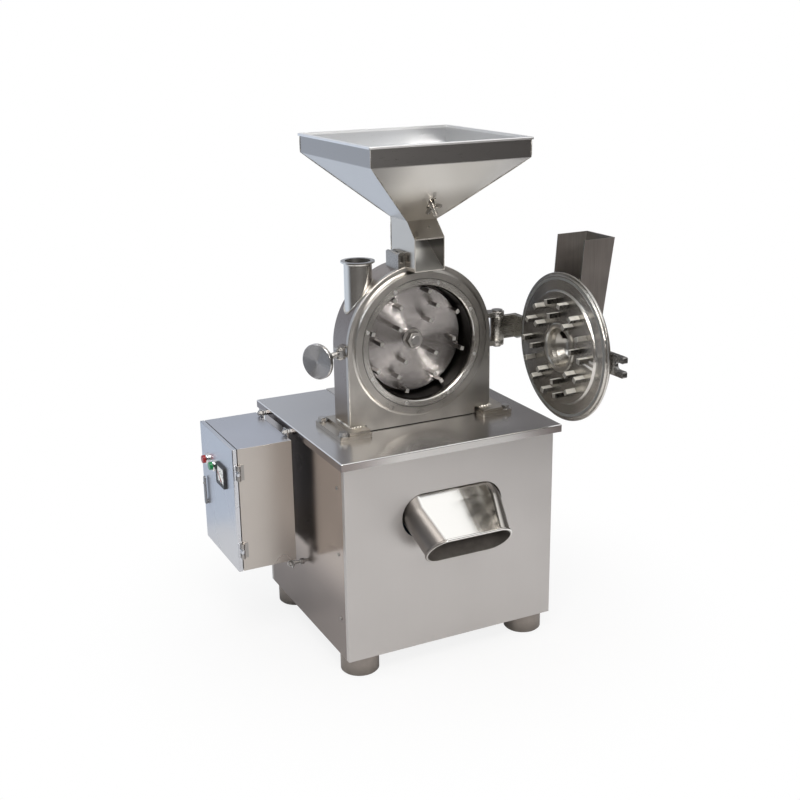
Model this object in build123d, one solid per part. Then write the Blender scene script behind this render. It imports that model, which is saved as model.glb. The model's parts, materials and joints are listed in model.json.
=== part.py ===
from build123d import *
import math
import os

os.makedirs("parts", exist_ok=True)

# Driving sizes in millimetres, from the floor point under the cabinet's middle, front towards -Y

# Cabinet
plate_margin = 60.0  # top plate outside the mill feet, left and right
plate_depth = 565.0  # top plate, front to back
plate_top = 571.0  # upper face of the top plate above the floor
plate_sheet = 3.0
plate_lip = 19.0  # folded edge, measured from the plate's upper face
side_overhang = 13.0  # top plate past the side panels
front_overhang = 19.0  # top plate past the front and rear panels
panel_sheet = 2.0
panel_return = 14.0  # front and rear panels folded round the corners
panel_gap = 0.4  # seam between two panels
tube_side = 30.0  # square frame tube
tube_wall = 2.5
foot_height = 50.0
foot_diameter = 96.0
foot_inset = 51.0  # foot centre from the cabinet's faces
foot_bevel = 3.0
louvre_rows = 7
louvre_pitch = 24.0
louvre_length = 150.0
louvre_height = 8.0
louvre_place = 90.0  # middle of a louvre from the cabinet's middle

# Discharge
outlet_inset = 14.0  # opening in the top plate inside the mill's skirt
outlet_depth = 60.0
outlet_back = 54.0  # middle of that opening behind the ring's front face
spout_slope = 37.0  # degrees below the horizon
spout_reach = 83.5  # middle of the mouth in front of the front panel
spout_mouth_height = 332.0  # middle of the mouth above the floor
spout_width = 266.0
spout_depth = 84.0
mouth_width = 226.0
mouth_depth = 90.0
spout_inner_length = 170.0  # straight part of the spout behind the front panel
spout_sheet = 2.0
spout_gap = 5.0  # cut-out in the front panel round the spout
rim_width = 4.0
rim_length = 7.0
chute_flange = 12.0

# Mill head
axis_margin = 10.0  # lowest point of the mill's round above the top plate
ring_front = -110.0  # front face of the raised ring
ring_raise = 8.0  # ring in front of the face plate
ring_radius = 180.0
ring_fillet = 6.0
ring_bevel = 2.0
face_thickness = 12.0
arch_margin = 17.0  # face plate past the raised ring
edge_round = 2.5  # rounded front edge of the face plate
shell_step = 1.5  # shell inside the face plate's edge
shell_wall = 6.0
shell_depth = 80.0
rear_wall = 12.0
clamp_margin = 18.3  # clamping ring, which holds the screen, inside the raised ring
clamp_thickness = 12.0
clamp_bevel = 0.8
opening_margin = 35.0  # opening inside the raised ring
face_relief = 1.0  # face plate's bore outside the screen
screen_sheet = 3.5
mill_foot_height = 18.0
mill_foot_flange = 10.0  # thickness of the outer part, under the bolts
mill_foot_under = 42.0  # mill feet inside the arch's edge
mill_foot_past = 43.0  # mill feet outside the arch's edge
mill_foot_front = 32.0  # mill feet in front of the ring
mill_foot_length = 157.0
mill_foot_corner = 4.0
mill_bolt_inset = 13.0
bolt_radius = 6.0
bolt_flats = 19.0
bolt_head = 8.0
bolt_washer_radius = 13.0
bolt_washer = 2.5
bolt_nut = 10.0
bolt_past_nut = 4.0
skirt_gap = 3.0  # outlet skirt from the mill feet
outlet_gasket = 2.0
gasket_inset = 4.0  # outlet gasket inside the skirt's edges
gasket_frame = 8.0

# Rotor and drive
rotor_clearance = 11.0  # rotor inside the opening
rotor_thickness = 14.0
rotor_setback = 58.0  # rotor face behind the ring's front face
rotor_pin_side = 10.0
rotor_pin_length = 38.0
rotor_inner_circle = 60.0
rotor_middle_circle = 100.0
rotor_beater_inset = 7.0  # outer circle of pins inside the rotor's edge
rotor_hub_radius = 34.0
rotor_hub = 10.0
edge_break = 1.5  # bevel on turned edges
shaft_radius = 17.5
shaft_nose = 12.0  # radius of the threaded front end
shaft_seat = 14.0  # radius under the rotor and the pulley
shaft_past = 4.0  # shafts past their pulleys
seal_ring = 12.0  # width of the shaft seal
nut_flats = 36.0
nut_height = 17.0
washer_sheet = 4.0
bearing_radius = 36.0
bearing_width = 17.0
bearing_sleeve = 52.0  # outer radius of the bearing housing
bearing_flange = 78.0
bearing_flange_thickness = 12.0
race_groove = 8.0  # width of the groove between the races
bearing_cap = 7.0
sleeve_length = 118.0
pedestal_half = 75.0
pedestal_web = 52.0
pedestal_rib = 92.0
pedestal_inset = 14.0  # bolts from the pedestal's edges
pedestal_place = 30.0  # pedestal behind the shell
pedestal_length = 70.0
pedestal_foot = 16.0
pulley_width = 36.0
belt_pitch = 16.0
belt_top = 13.0
belt_thickness = 8.0
groove_depth = 11.0
groove_slack = 0.5
mill_pulley_radius = 50.0
motor_pulley_radius = 77.5
guard_half_width = 85.0
guard_sheet = 2.0
guard_flange_x = 98.0
pulley_room = 8.0  # free space beside the pulleys
motor_height = 112.0  # motor axis above its feet
motor_radius = 96.0
fin_count = 28  # an even number
fin_height = 13.0
motor_length = 190.0
motor_bell = 26.0
bell_cover = 12.0  # bell over the finned frame
motor_foot = 102.0  # half the width over the motor's feet
motor_foot_thickness = 14.0
motor_bell_step = 7.0  # bell past the finned frame's core
fin_thickness = 3.0
motor_shaft_room = 40.0  # solid end of the motor behind its shaft
terminal_width = 104.0
terminal_length = 90.0
terminal_height = 60.0
terminal_place = 40.0  # terminal box from the fan's end
terminal_sink = 10.0  # terminal box into the frame
terminal_corner = 8.0
cover_sheet = 2.0
cover_corner = 10.0
cover_seat_width = 8.0
grille_pitch = 22.0
grille_slot = 8.0
fan_cover_length = 72.0
beam_height = 58.0
beam_inset = 40.0

# Pin door
door_angle = 91.5  # degrees from closed to the way it stands here
hinge_out = 35.6  # hinge axis outside the face plate's edge
hinge_back = 35.3  # hinge axis behind the ring's front face
hinge_pin_radius = 10.0
hinge_barrel_radius = 18.0
hinge_barrel_length = 62.0
hinge_rise = 4.0  # hinge's middle above the shaft axis
hinge_lug = 12.0
hinge_lug_length = 44.0
hinge_lug_nose = 14.0  # front corner of the lugs inside the hinge axis
lug_set = 2.0  # lugs behind the face plate
door_gap = 0.5  # closed door to the ring
door_thickness = 12.0
door_overlap = 1.0  # door past the ring's edge
door_step = 7.0  # width of the stepped rim
door_step_depth = 4.0
spigot_clearance = 6.0
spigot_height = 6.0
gasket_margin = 16.0  # gasket's groove inside the raised ring's edge
gasket_width = 6.0
gasket_depth = 5.0
gasket_proud = 0.2
stator_pin_length = 28.0
stator_pin_side = 12.0
bowl_radius = 50.0
bowl_flange = 60.0
bowl_depth = 42.0
bowl_wall = 2.5
bowl_lip = 4.0  # thickness of the flange
bowl_floor = 24.0  # radius of the flat bottom
bowl_window = 60.0
bowl_window_rise = 12.0  # window's lower edge above the shaft axis
arm_thickness = 12.0
arm_height = 60.0
arm_hollow = 10.0  # depth of the hollow in the arm's lower edge
arm_reach = 102.6  # strap on the door, from the hinge axis inwards
fork_slot = 19.0
fork_prong = 15.0
fork_root = 120.0
fork_tip = 224.0
fork_corner = 4.0

# Feed chute on the door
chute_half_width = 54.0
chute_sheet = 2.0
chute_rise = 68.0  # chute's top edge above the arch's crown
chute_foot = 82.0  # height above the axis where the front wall is chute_foot_depth away
chute_top_depth = 94.5  # front wall in front of the door at the top
chute_foot_depth = 67.5
chute_back_slope = 8.0  # lean of the open back edges above the door's rim

# Latch
latch_out = 16.0  # swing bolt's axis outside the face plate's edge
latch_back = 18.0  # swing bolt's axis behind the ring's front face
latch_pin_radius = 6.0
latch_lug = 6.0
latch_lug_length = 28.0
latch_lug_nose = 4.0
latch_eye = 15.0
latch_eye_radius = 13.0
latch_angle = 60.0  # degrees from latched to the way it hangs here
swing_bolt_radius = 7.0
knob_start = 54.0  # hub of the knob from the swing bolt's axis
knob_length = 38.0
knob_radius = 42.5
knob_rim = 6.0
knob_hub = 15.0
knob_hub_length = 9.0
knob_cap = 14.5  # knob's face past the bolt's end
knob_dish = 1.5  # hollow of its turned face
clamp_washer = 3.0
clamp_washer_radius = 17.0

# Feed duct, hopper and gate
duct_half_width = 40.0
duct_sheet = 2.0
duct_back = 85.0  # rear wall behind the ring's front face
duct_neck = 2.0  # front of the neck before the ring's front face
duct_mouth = 41.0  # front edge of the mouth before the ring's front face
duct_drop = 10.0  # mouth's lower edge below the arch's crown
duct_brow = 69.0  # mouth's upper edge above the arch's crown
duct_top = 107.0  # neck's upper edge above the arch's crown
duct_floor_rise = 85.0
duct_foot_gap = 1.0  # duct's cheeks in front of the face plate
duct_lip_strip = 3.0  # edge left in front of the space under the duct's floor
bracket_width = 18.0
bracket_height = 33.0
bracket_corner = 5.0
bracket_length = 58.0
bracket_groove = 7.0
bracket_groove_depth = 12.0
lug_height = 34.0
lug_slot = 6.0
lug_slot_height = 20.0
hopper_half = 203.5
hopper_middle = 45.0  # hopper's middle behind the ring's front face
hopper_band = 46.0
hopper_height = 195.0
hopper_sheet = 2.0
hopper_rim = 5.0
collar_depth = 20.0
gate_width = 66.0
gate_length = 110.0
gate_sheet = 3.0
gate_travel = 16.0  # either way
gate_place = 70.0  # gate's stud up the slope from the neck
stud_radius = 5.0
stud_length = 40.0
slot_slack = 1.0  # slot round the stud
wing_hub = 8.0
wing_hub_height = 13.0
wing_span = 22.0
wing_sheet = 4.0
wing_angle = 45.0  # degrees, the way the nut stands here

# Vent pipe
vent_inset = 55.0  # pipe's middle inside the arch's edge
vent_back = 60.0  # behind the ring's front face
vent_radius = 34.0
vent_bore = 31.0
vent_ferrule = 41.5
vent_ferrule_height = 7.0
vent_ferrule_bevel = (3.5, 6.0)  # up and in
vent_rise = 13.0  # ferrule's top above the arch's crown

# Control box
box_gap = 30.0  # from the side panel
box_width = 154.0  # left to right, door included
box_depth = 255.6  # front to back
box_front = -12.6
box_drop = 21.0  # box's top below the top plate's upper face
box_height = 323.0
box_sheet = 1.5
box_door = 11.5
box_door_gap = 2.1
box_lip = 12.0
ear_width = 26.0
ear_height = 18.0
ear_drop = 36.0  # lower ears below the box
ear_inset = 40.0
ear_sheet = 3.0
ear_lap = 28.0  # ear on the box's back
ear_stud = 4.0
ear_nut_flats = 13.0
ear_nut = 6.0
knuckle_radius = 5.0
knuckle_stand = 0.5  # knuckle off the box's front
box_pin_radius = 2.5
leaf_sheet = 2.0
leaf_reach = 14.0
leaf_inset = 3.0
butt_hinge_length = 40.0
butt_hinge_high = 41.0  # upper hinge below the box's top
butt_hinge_low = 36.0  # lower hinge above the box's underside
meter_y = 79.0
meter_drop = 95.0  # meter's middle below the box's top
meter_width = 64.0
meter_height = 56.0
meter_front = 6.0
meter_dial = 2.0  # dial in front of the door
meter_corner = 3.0
meter_wall = 5.0
meter_foot = 8.0  # lower edge of the frame
meter_inset = 7.0  # body inside the frame's edges
meter_body = 46.0
needle_rise = 4.0  # needle's pivot above the dial's lower edge
needle_hub = 3.0
needle_base = 2.2  # width of the needle at its pivot
needle_point = 1.0
needle_sheet = 0.8
needle_stand = 1.6
needle_angle = 50.0  # degrees off upright at zero
button_drop = 88.0
stop_y = 195.0
start_y = 138.0
button_radius = 10.5
button_length = 15.0
button_travel = 4.0
collar_radius = 15.0
collar_height = 7.0
collar_bevel = 2.0
button_wall = 1.6
button_depth = 6.0  # button behind the door's face
button_stop = 2.0  # room behind the pressed button
switch_width = 30.0
switch_height = 40.0
lock_y = 214.0
lock_drop = 181.0
lock_length = 78.0
lock_width = 14.0
lock_lever = 4.0
lock_stand = 4.0  # lever off the door
lock_pin_radius = 4.0
lock_boss = 6.0
lock_washer_radius = 8.0
gland_radius = 10.0
gland_flats = 26.0
gland_dome = 12.0
gland_bore = 6.0
back_plate_sheet = 2.0
plate_edge = 26.0  # back plate inside the box's faces
spacer_height = 14.0
spacer_inset = 14.0
spacer_radius = 6.0
contactor = (72.0, 50.0, 82.0)  # depth, width and height
breaker = (66.0, 64.0, 82.0)
relay = (58.0, 50.0, 60.0)
terminals = (42.0, 132.0, 40.0)
device_row = 68.0  # upper row below the box's top
device_gap = 5.0
terminal_row = 48.0  # terminals above the box's underside

# Clearances
run_gap = 0.05  # a shaft in its bearing, all round
free_gap = 0.4  # pieces that pass each other
bolt_gap = 0.5  # a bolt in its hole, all round
past = 6.0  # cutters reach this far past a face
sunk = 1.0  # forms of one piece reach this far into each other


# Shapes that come back again and again
def block(x0, x1, y0, y1, z0, z1):
    """A box between two corners."""
    return Pos((x0 + x1) / 2, (y0 + y1) / 2, (z0 + z1) / 2) * Box(x1 - x0, y1 - y0, z1 - z0)


def rod_x(radius, x0, x1, y, z):
    """A round bar along X."""
    return Pos((x0 + x1) / 2, y, z) * Rot(0, 90, 0) * Cylinder(radius, x1 - x0)


def rod_y(radius, y0, y1, x, z):
    """A round bar along Y."""
    return Pos(x, (y0 + y1) / 2, z) * Rot(90, 0, 0) * Cylinder(radius, y1 - y0)


def rod_z(radius, z0, z1, x, y):
    """A round bar along Z."""
    return Pos(x, y, (z0 + z1) / 2) * Cylinder(radius, z1 - z0)


def outline(*points):
    """A flat face inside a closed line."""
    return make_face(Polyline(*points, close=True))


def slab_x(face, x0, x1):
    """A face drawn in Y and Z, given a thickness along X."""
    return extrude(Plane(origin=(x0, 0, 0), x_dir=(0, 1, 0), z_dir=(1, 0, 0)) * face, x1 - x0)


def slab_y(face, y0, y1):
    """A face drawn in X and Z, given a thickness along Y."""
    return extrude(Plane(origin=(0, y1, 0), x_dir=(1, 0, 0), z_dir=(0, -1, 0)) * face, y1 - y0)


def slab_z(face, z0, z1):
    """A face drawn in X and Y, given a thickness along Z."""
    return extrude(Pos(0, 0, z0) * face, z1 - z0)


def turned(points, z):
    """A turned piece about an axis along Y, from points of radius and Y."""
    return Pos(0, 0, z) * revolve(outline(*points), Axis.Y)


def hexagon(flats, height):
    """A hexagon head standing on the XY plane."""
    return extrude(RegularPolygon(flats / 2, 6, major_radius=False), height)


def save(node, *shapes):
    """Write one node as the solids of the given shapes."""
    solids = [solid for shape in shapes for solid in shape.solids()]
    export_step(Compound(solids), f"parts/{node}.step")


# Planes and centres that follow from the sizes
arch_radius = ring_radius + arch_margin
mill_foot_inner = arch_radius - mill_foot_under
mill_foot_outer = arch_radius + mill_foot_past
plate_width = 2 * (mill_foot_outer + plate_margin)
body_x = plate_width / 2 - side_overhang
body_y = plate_depth / 2 - front_overhang
frame_x = body_x - panel_sheet
frame_y = body_y - panel_sheet
plate_under = plate_top - plate_sheet
axis_z = plate_top + arch_radius + axis_margin
face_front = ring_front + ring_raise
face_back = face_front + face_thickness
shell_back = face_back + shell_depth
chamber_back = shell_back - rear_wall
crown_z = axis_z + arch_radius
shell_radius = arch_radius - shell_step
clamp_radius = ring_radius - clamp_margin
opening_radius = ring_radius - opening_margin
screen_radius = opening_radius - screen_sheet
rotor_radius = opening_radius - rotor_clearance
rotor_outer_circle = rotor_radius - rotor_beater_inset
skirt_half_width = mill_foot_inner - skirt_gap
outlet_width = 2 * (skirt_half_width - outlet_inset)
mill_foot_top = plate_top + mill_foot_height
skirt_bottom = plate_top + outlet_gasket
outlet_y = ring_front + outlet_back
rotor_front = ring_front + rotor_setback
rotor_back = rotor_front + rotor_thickness
door_face = ring_front - door_gap
door_back = door_face - door_thickness
spigot_face = door_face + spigot_height
door_radius = ring_radius + door_overlap
hinge_x = arch_radius + hinge_out
hinge_y = ring_front + hinge_back
hinge_z = axis_z + hinge_rise
latch_x = -arch_radius - latch_out
latch_y = ring_front + latch_back
box_top = plate_top - box_drop
box_bottom = box_top - box_height
stator_inner_circle = (rotor_inner_circle + rotor_middle_circle) / 2
stator_outer_circle = (rotor_middle_circle + rotor_outer_circle) / 2

# Cabinet frame: twelve square tubes and the two beams that carry the motor
def square_tube(x0, x1, y0, y1, z0, z1, along):
    """A hollow bar whose open ends lie along the named axis."""
    wall = {axis: 0 if axis == along else tube_wall for axis in "xyz"}
    core = block(
        x0 + wall["x"], x1 - wall["x"], y0 + wall["y"], y1 - wall["y"], z0 + wall["z"], z1 - wall["z"]
    )
    return block(x0, x1, y0, y1, z0, z1) - core


post_x = frame_x - tube_side
post_y = frame_y - tube_side
rail_top = foot_height + tube_side
beam_top = rail_top + beam_height
bars = []
for side in (-1, 1):
    side_x = sorted((side * frame_x, side * post_x))
    side_y = sorted((side * frame_y, side * post_y))
    for end in (-1, 1):
        end_y = sorted((end * frame_y, end * post_y))
        bars.append(square_tube(*side_x, *end_y, foot_height, plate_under, "z"))
    for low, high in ((foot_height, rail_top), (plate_under - tube_side, plate_under)):
        bars.append(square_tube(*side_x, -post_y, post_y, low, high, "y"))
        bars.append(square_tube(-post_x, post_x, *side_y, low, high, "x"))
sleeve_end = shell_back + sleeve_length
pulley_front = sleeve_end + pulley_room * 2
pulley_back = pulley_front + pulley_width
motor_end = pulley_front - pulley_room - motor_bell
motor_start = motor_end - motor_length
beam_places = (motor_start + beam_inset, motor_end - beam_inset)
for place in beam_places:
    half = tube_side / 2
    bars.append(square_tube(-frame_x, frame_x, place - half, place + half, rail_top, beam_top, "x"))
save("cabinet_frame", *bars)

# Feet: turned steel, rounded at the floor
foot_x = body_x - foot_inset
foot_y = body_y - foot_inset
foot = rod_z(foot_diameter / 2, 0, foot_height, 0, 0)
foot = chamfer(foot.edges().group_by(Axis.Z)[0], foot_bevel)
save("feet", *[Pos(x, y, 0) * foot for x in (-foot_x, foot_x) for y in (-foot_y, foot_y)])

# Front panel: folded sheet with the cut-out for the spout
spout_c = math.cos(math.radians(spout_slope))
spout_s = math.sin(math.radians(spout_slope))
mouth_y = -body_y - spout_reach
panel_cut_z = spout_mouth_height + spout_reach * spout_s / spout_c


def folded_panel(side):
    """A panel with a return round either corner; side is -1 at the front and 1 at the rear."""
    outer_y = sorted((side * body_y, side * (body_y - panel_return)))
    inner_y = sorted((side * frame_y, side * (body_y - panel_return)))
    tray = block(-body_x, body_x, *outer_y, foot_height, plate_under)
    tray -= block(-frame_x, frame_x, *inner_y, foot_height, plate_under)
    corners = tray.edges().filter_by(Axis.Z).filter_by(
        lambda edge: abs(edge.center().X) > frame_x + panel_gap and abs(edge.center().Y) > frame_y + panel_gap
    )
    return fillet(corners, panel_sheet)


cut_width = spout_width + 2 * spout_gap
cut_depth = spout_depth / spout_c + 2 * spout_gap
panel_cut = slab_y(Pos(0, panel_cut_z) * SlotOverall(cut_width, cut_depth), -body_y - past, -frame_y + past)
save("front_panel", folded_panel(-1) - panel_cut)

# Rear panel: the same fold, with hooded louvres that let the motor breathe
rear_panel = folded_panel(1)
for row in range(louvre_rows):
    low = foot_height + (plate_under - foot_height) / 2 + (row - louvre_rows / 2) * louvre_pitch
    for middle in (-louvre_place, louvre_place):
        ends = (middle - louvre_length / 2, middle + louvre_length / 2)
        rear_panel -= block(*ends, frame_y - sunk, body_y + sunk, low, low + louvre_height)
        hood = outline(
            (body_y - panel_sheet, low + louvre_height),
            (body_y, low + louvre_height + panel_sheet),
            (body_y + louvre_height, low),
            (body_y + louvre_height - panel_sheet, low),
        )
        rear_panel += slab_x(hood, *ends)
save("rear_panel", rear_panel)

# Side panels: flat sheets between the returns of the front and rear panels
side_y = body_y - panel_return - panel_gap
side_panel = block(frame_x, body_x, -side_y, side_y, foot_height, plate_under)
save("side_panels", side_panel, mirror(side_panel, Plane.YZ))

# Top plate: folded tray with the outlet under the mill and the slot for the belts
guard_front = pulley_front - pulley_room
guard_back = pulley_back + pulley_room
half_x = plate_width / 2
half_y = plate_depth / 2
top_plate = block(-half_x, half_x, -half_y, half_y, plate_top - plate_lip, plate_top)
top_plate = fillet(top_plate.edges().filter_by(Axis.Z), plate_sheet)
top_plate = fillet(top_plate.edges().group_by(Axis.Z)[-1], plate_sheet * 0.9)
top_plate -= block(
    -half_x + panel_sheet,
    half_x - panel_sheet,
    -half_y + panel_sheet,
    half_y - panel_sheet,
    plate_top - plate_lip,
    plate_under,
)
outlet = Pos(0, outlet_y) * SlotOverall(outlet_width, outlet_depth)
top_plate -= slab_z(outlet, plate_under - sunk, plate_top + sunk)
belt_slot_x = guard_half_width - guard_sheet
top_plate -= block(
    -belt_slot_x,
    belt_slot_x,
    guard_front + guard_sheet,
    guard_back - guard_sheet,
    plate_under - sunk,
    plate_top + sunk,
)
mill_bolt_x = mill_foot_outer - mill_bolt_inset
mill_foot_y0 = ring_front - mill_foot_front
mill_foot_y1 = mill_foot_y0 + mill_foot_length
mill_bolt_y = (mill_foot_y0 + mill_bolt_inset, mill_foot_y1 - mill_bolt_inset)
mill_bolts = [(x, y) for x in (-mill_bolt_x, mill_bolt_x) for y in mill_bolt_y]
for x, y in mill_bolts:
    top_plate -= rod_z(bolt_radius + bolt_gap, plate_under - sunk, plate_top + sunk, x, y)
pedestal_front = shell_back + pedestal_place
pedestal_back = pedestal_front + pedestal_length
pedestal_bolts = [
    (x, y)
    for x in (-pedestal_half + pedestal_inset, pedestal_half - pedestal_inset)
    for y in (pedestal_front + pedestal_inset, pedestal_back - pedestal_inset)
]
for x, y in pedestal_bolts:
    top_plate -= rod_z(bolt_radius + bolt_gap, plate_under - sunk, plate_top + sunk, x, y)
save("top_plate", top_plate)

# Discharge chute: sheet funnel from the outlet to the spout
spout_axis = (0, -spout_c, -spout_s)
inner_run = spout_reach / spout_c + spout_inner_length


def across_spout(run, width, depth):
    """An obround across the spout's axis, a given run uphill from the mouth's middle."""
    centre = (0, mouth_y + run * spout_c, spout_mouth_height + run * spout_s)
    return Plane(origin=centre, x_dir=(1, 0, 0), z_dir=spout_axis) * SlotOverall(width, depth)


def under_outlet(z, width, depth):
    """An obround below the outlet, turned like those across the spout."""
    return Plane(origin=(0, outlet_y, z), x_dir=(1, 0, 0), z_dir=(0, 0, -1)) * SlotOverall(width, depth)


thin = 2 * spout_sheet
chute_top_z = plate_under - plate_sheet
funnel = loft(
    [
        under_outlet(chute_top_z, outlet_width, outlet_depth),
        across_spout(inner_run, spout_width, spout_depth),
    ],
    ruled=True,
)
flange = extrude(
    under_outlet(plate_under, outlet_width + 2 * chute_flange, outlet_depth + 2 * chute_flange), plate_sheet
)
funnel += flange
funnel -= loft(
    [
        under_outlet(chute_top_z, outlet_width - thin, outlet_depth - thin),
        across_spout(inner_run, spout_width - thin, spout_depth - thin),
    ],
    ruled=True,
)
funnel -= extrude(under_outlet(plate_under, outlet_width - thin, outlet_depth - thin), plate_sheet)
save("discharge_chute", funnel)

# Discharge spout: polished tube that narrows to a mouth with a rolled rim
panel_run = spout_reach / spout_c
spout = loft(
    [across_spout(inner_run, spout_width, spout_depth), across_spout(panel_run, spout_width, spout_depth)],
    ruled=True,
)
spout += loft(
    [across_spout(panel_run, spout_width, spout_depth), across_spout(0, mouth_width, mouth_depth)], ruled=True
)
rim = extrude(across_spout(rim_length, mouth_width + 2 * rim_width, mouth_depth + 2 * rim_width), rim_length)
rim = fillet(rim.edges(), rim_length * 0.45)
spout += rim
spout -= loft(
    [
        across_spout(inner_run, spout_width - thin, spout_depth - thin),
        across_spout(panel_run, spout_width - thin, spout_depth - thin),
    ],
    ruled=True,
)
spout -= loft(
    [
        across_spout(panel_run, spout_width - thin, spout_depth - thin),
        across_spout(0, mouth_width - thin, mouth_depth - thin),
    ],
    ruled=True,
)
save("discharge_spout", spout)


# Mill shell: band of an arch, open below over the outlet
def arch(radius, foot_z, skirt_x, skirt_z):
    """A round arch about the shaft axis with straight sides, and a narrower skirt below."""
    face = Pos(0, axis_z) * Circle(radius)
    face += Pos(0, (axis_z + foot_z) / 2) * Rectangle(2 * radius, axis_z - foot_z)
    face += Pos(0, (axis_z + skirt_z) / 2) * Rectangle(2 * skirt_x, axis_z - skirt_z)
    return face


shell_outline = arch(shell_radius, mill_foot_top, skirt_half_width, skirt_bottom)
shell_room = arch(
    shell_radius - shell_wall, mill_foot_top + shell_wall, skirt_half_width - shell_wall, plate_top
)
vent_x = vent_inset - arch_radius
vent_y = ring_front + vent_back
vent_top = crown_z + vent_rise
vent_hole = rod_z(vent_bore, axis_z, vent_top, vent_x, vent_y)
shell = slab_y(shell_outline, face_back, chamber_back) - slab_y(shell_room, face_back, chamber_back)
save("mill_shell", shell - vent_hole)

# Rear wall: closes the shell and carries the shaft seal
seal_radius = shaft_radius + seal_ring
seal_hole = rod_y(seal_radius, chamber_back - past, shell_back + past, 0, axis_z)
save("shell_rear_wall", slab_y(shell_outline, chamber_back, shell_back) - seal_hole - vent_hole)

# Face plate: front of the shell, with the raised ring the door closes on
face_plate = slab_y(arch(arch_radius, mill_foot_top, skirt_half_width, skirt_bottom), face_front, face_back)
front_edges = face_plate.edges().group_by(Axis.Y)[0].filter_by(
    lambda edge: edge.center().Z > (axis_z + mill_foot_top) / 2
)
face_plate = fillet(front_edges, edge_round)
ring_points = [
    (opening_radius, ring_front),
    (ring_radius - ring_bevel, ring_front),
    (ring_radius, ring_front + ring_bevel),
    (ring_radius, face_front - ring_fillet * 0.6),
    (ring_radius + ring_fillet * 0.3, face_front - ring_fillet * 0.2),
    (ring_radius + ring_fillet, face_front),
    (ring_radius, face_front + sunk),
    (opening_radius, face_front + sunk),
]
face_plate += turned(ring_points, axis_z)
clamp_back = ring_front + clamp_thickness
face_plate -= rod_y(opening_radius + face_relief, ring_front - past, face_back + past, 0, axis_z)
face_plate -= rod_y(clamp_radius + free_gap, ring_front - past, clamp_back, 0, axis_z)
save("face_plate", face_plate)

# Clamping ring: holds the screen in the face plate
clamp_points = [
    (opening_radius, clamp_back),
    (opening_radius, ring_front + ring_bevel),
    (opening_radius + ring_bevel, ring_front),
    (clamp_radius - clamp_bevel, ring_front),
    (clamp_radius, ring_front + clamp_bevel),
    (clamp_radius, clamp_back),
]
save("clamping_ring", turned(clamp_points, axis_z))

# Screen ring: perforated band round the rotor
screen_front = clamp_back + free_gap
screen = rod_y(opening_radius, screen_front, chamber_back, 0, axis_z)
save("screen_ring", screen - rod_y(screen_radius, screen_front, chamber_back, 0, axis_z))

# Mill feet: stepped blocks welded under the shell, with an outer flange bolted to the top plate
mill_flange_top = plate_top + mill_foot_flange
mill_foot_step = mill_foot_outer - 2 * mill_bolt_inset
mill_feet = []
for side in (-1, 1):
    across = sorted((side * mill_foot_inner, side * mill_foot_outer))
    mill_foot = block(*across, mill_foot_y0, mill_foot_y1, plate_top, mill_flange_top)
    mill_foot = fillet(mill_foot.edges().filter_by(Axis.Z), mill_foot_corner)
    across = sorted((side * (mill_foot_inner + mill_foot_corner), side * mill_foot_step))
    mill_foot += block(
        *across,
        mill_foot_y0 + mill_foot_corner,
        mill_foot_y1 - mill_foot_corner,
        plate_top,
        mill_foot_top,
    )
    for y in mill_bolt_y:
        mill_foot -= rod_z(bolt_radius + bolt_gap, plate_top - past, mill_foot_top, side * mill_bolt_x, y)
    mill_feet.append(mill_foot)
save("mill_feet", *mill_feet)


# Anchor bolts: through the mill feet or the bearing pedestal and the top plate, with nuts below
def through_bolt(head_z, foot_z):
    """A hexagon bolt with washer that hangs from head_z and carries a nut under foot_z."""
    seat_z = head_z + bolt_washer
    bolt = rod_z(bolt_washer_radius, head_z, seat_z, 0, 0)
    bolt += Pos(0, 0, seat_z) * hexagon(bolt_flats, bolt_head)
    bolt += rod_z(bolt_radius, foot_z - bolt_nut - bolt_past_nut, seat_z, 0, 0)
    bolt += Pos(0, 0, foot_z - bolt_nut) * hexagon(bolt_flats, bolt_nut)
    return bolt


mill_bolt = through_bolt(mill_flange_top, plate_under)
pedestal_bolt = through_bolt(plate_top + pedestal_foot, plate_under)
anchor_bolts = [Pos(x, y, 0) * mill_bolt for x, y in mill_bolts]
anchor_bolts += [Pos(x, y, 0) * pedestal_bolt for x, y in pedestal_bolts]
save("anchor_bolts", *anchor_bolts)

# Bearing housing: flanged sleeve on a pedestal behind the shell
flange_back = shell_back + bearing_flange_thickness
bearing_seats = (flange_back, sleeve_end - bearing_flange_thickness - bearing_width)
housing = rod_y(bearing_sleeve, shell_back, sleeve_end, 0, axis_z)
housing += rod_y(bearing_flange, shell_back, flange_back, 0, axis_z)
web_edge = bearing_flange_thickness
housing += block(
    -pedestal_web / 2,
    pedestal_web / 2,
    pedestal_front + web_edge,
    pedestal_back - web_edge,
    plate_top,
    axis_z,
)
rib_edge = (pedestal_length - pedestal_inset) / 2
housing += block(
    -pedestal_rib / 2,
    pedestal_rib / 2,
    pedestal_front + rib_edge,
    pedestal_back - rib_edge,
    plate_top,
    axis_z,
)
pedestal_base = block(
    -pedestal_half, pedestal_half, pedestal_front, pedestal_back, plate_top, plate_top + pedestal_foot
)
housing += fillet(pedestal_base.edges().filter_by(Axis.Z), pedestal_inset * 0.7)
housing -= rod_y(bearing_radius + run_gap, shell_back - past, sleeve_end + past, 0, axis_z)
for x, y in pedestal_bolts:
    housing -= rod_z(bolt_radius + bolt_gap, plate_top - past, plate_top + pedestal_foot + past, x, y)
cap_end = sleeve_end + bearing_cap
cap_hole = shaft_radius + 2 * free_gap
cap_points = [
    (cap_hole, sleeve_end),
    (bearing_sleeve, sleeve_end),
    (bearing_sleeve, cap_end - edge_break),
    (bearing_sleeve - bearing_cap, cap_end),
    (cap_hole, cap_end),
]
save("bearing_housing", housing, turned(cap_points, axis_z))

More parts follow.
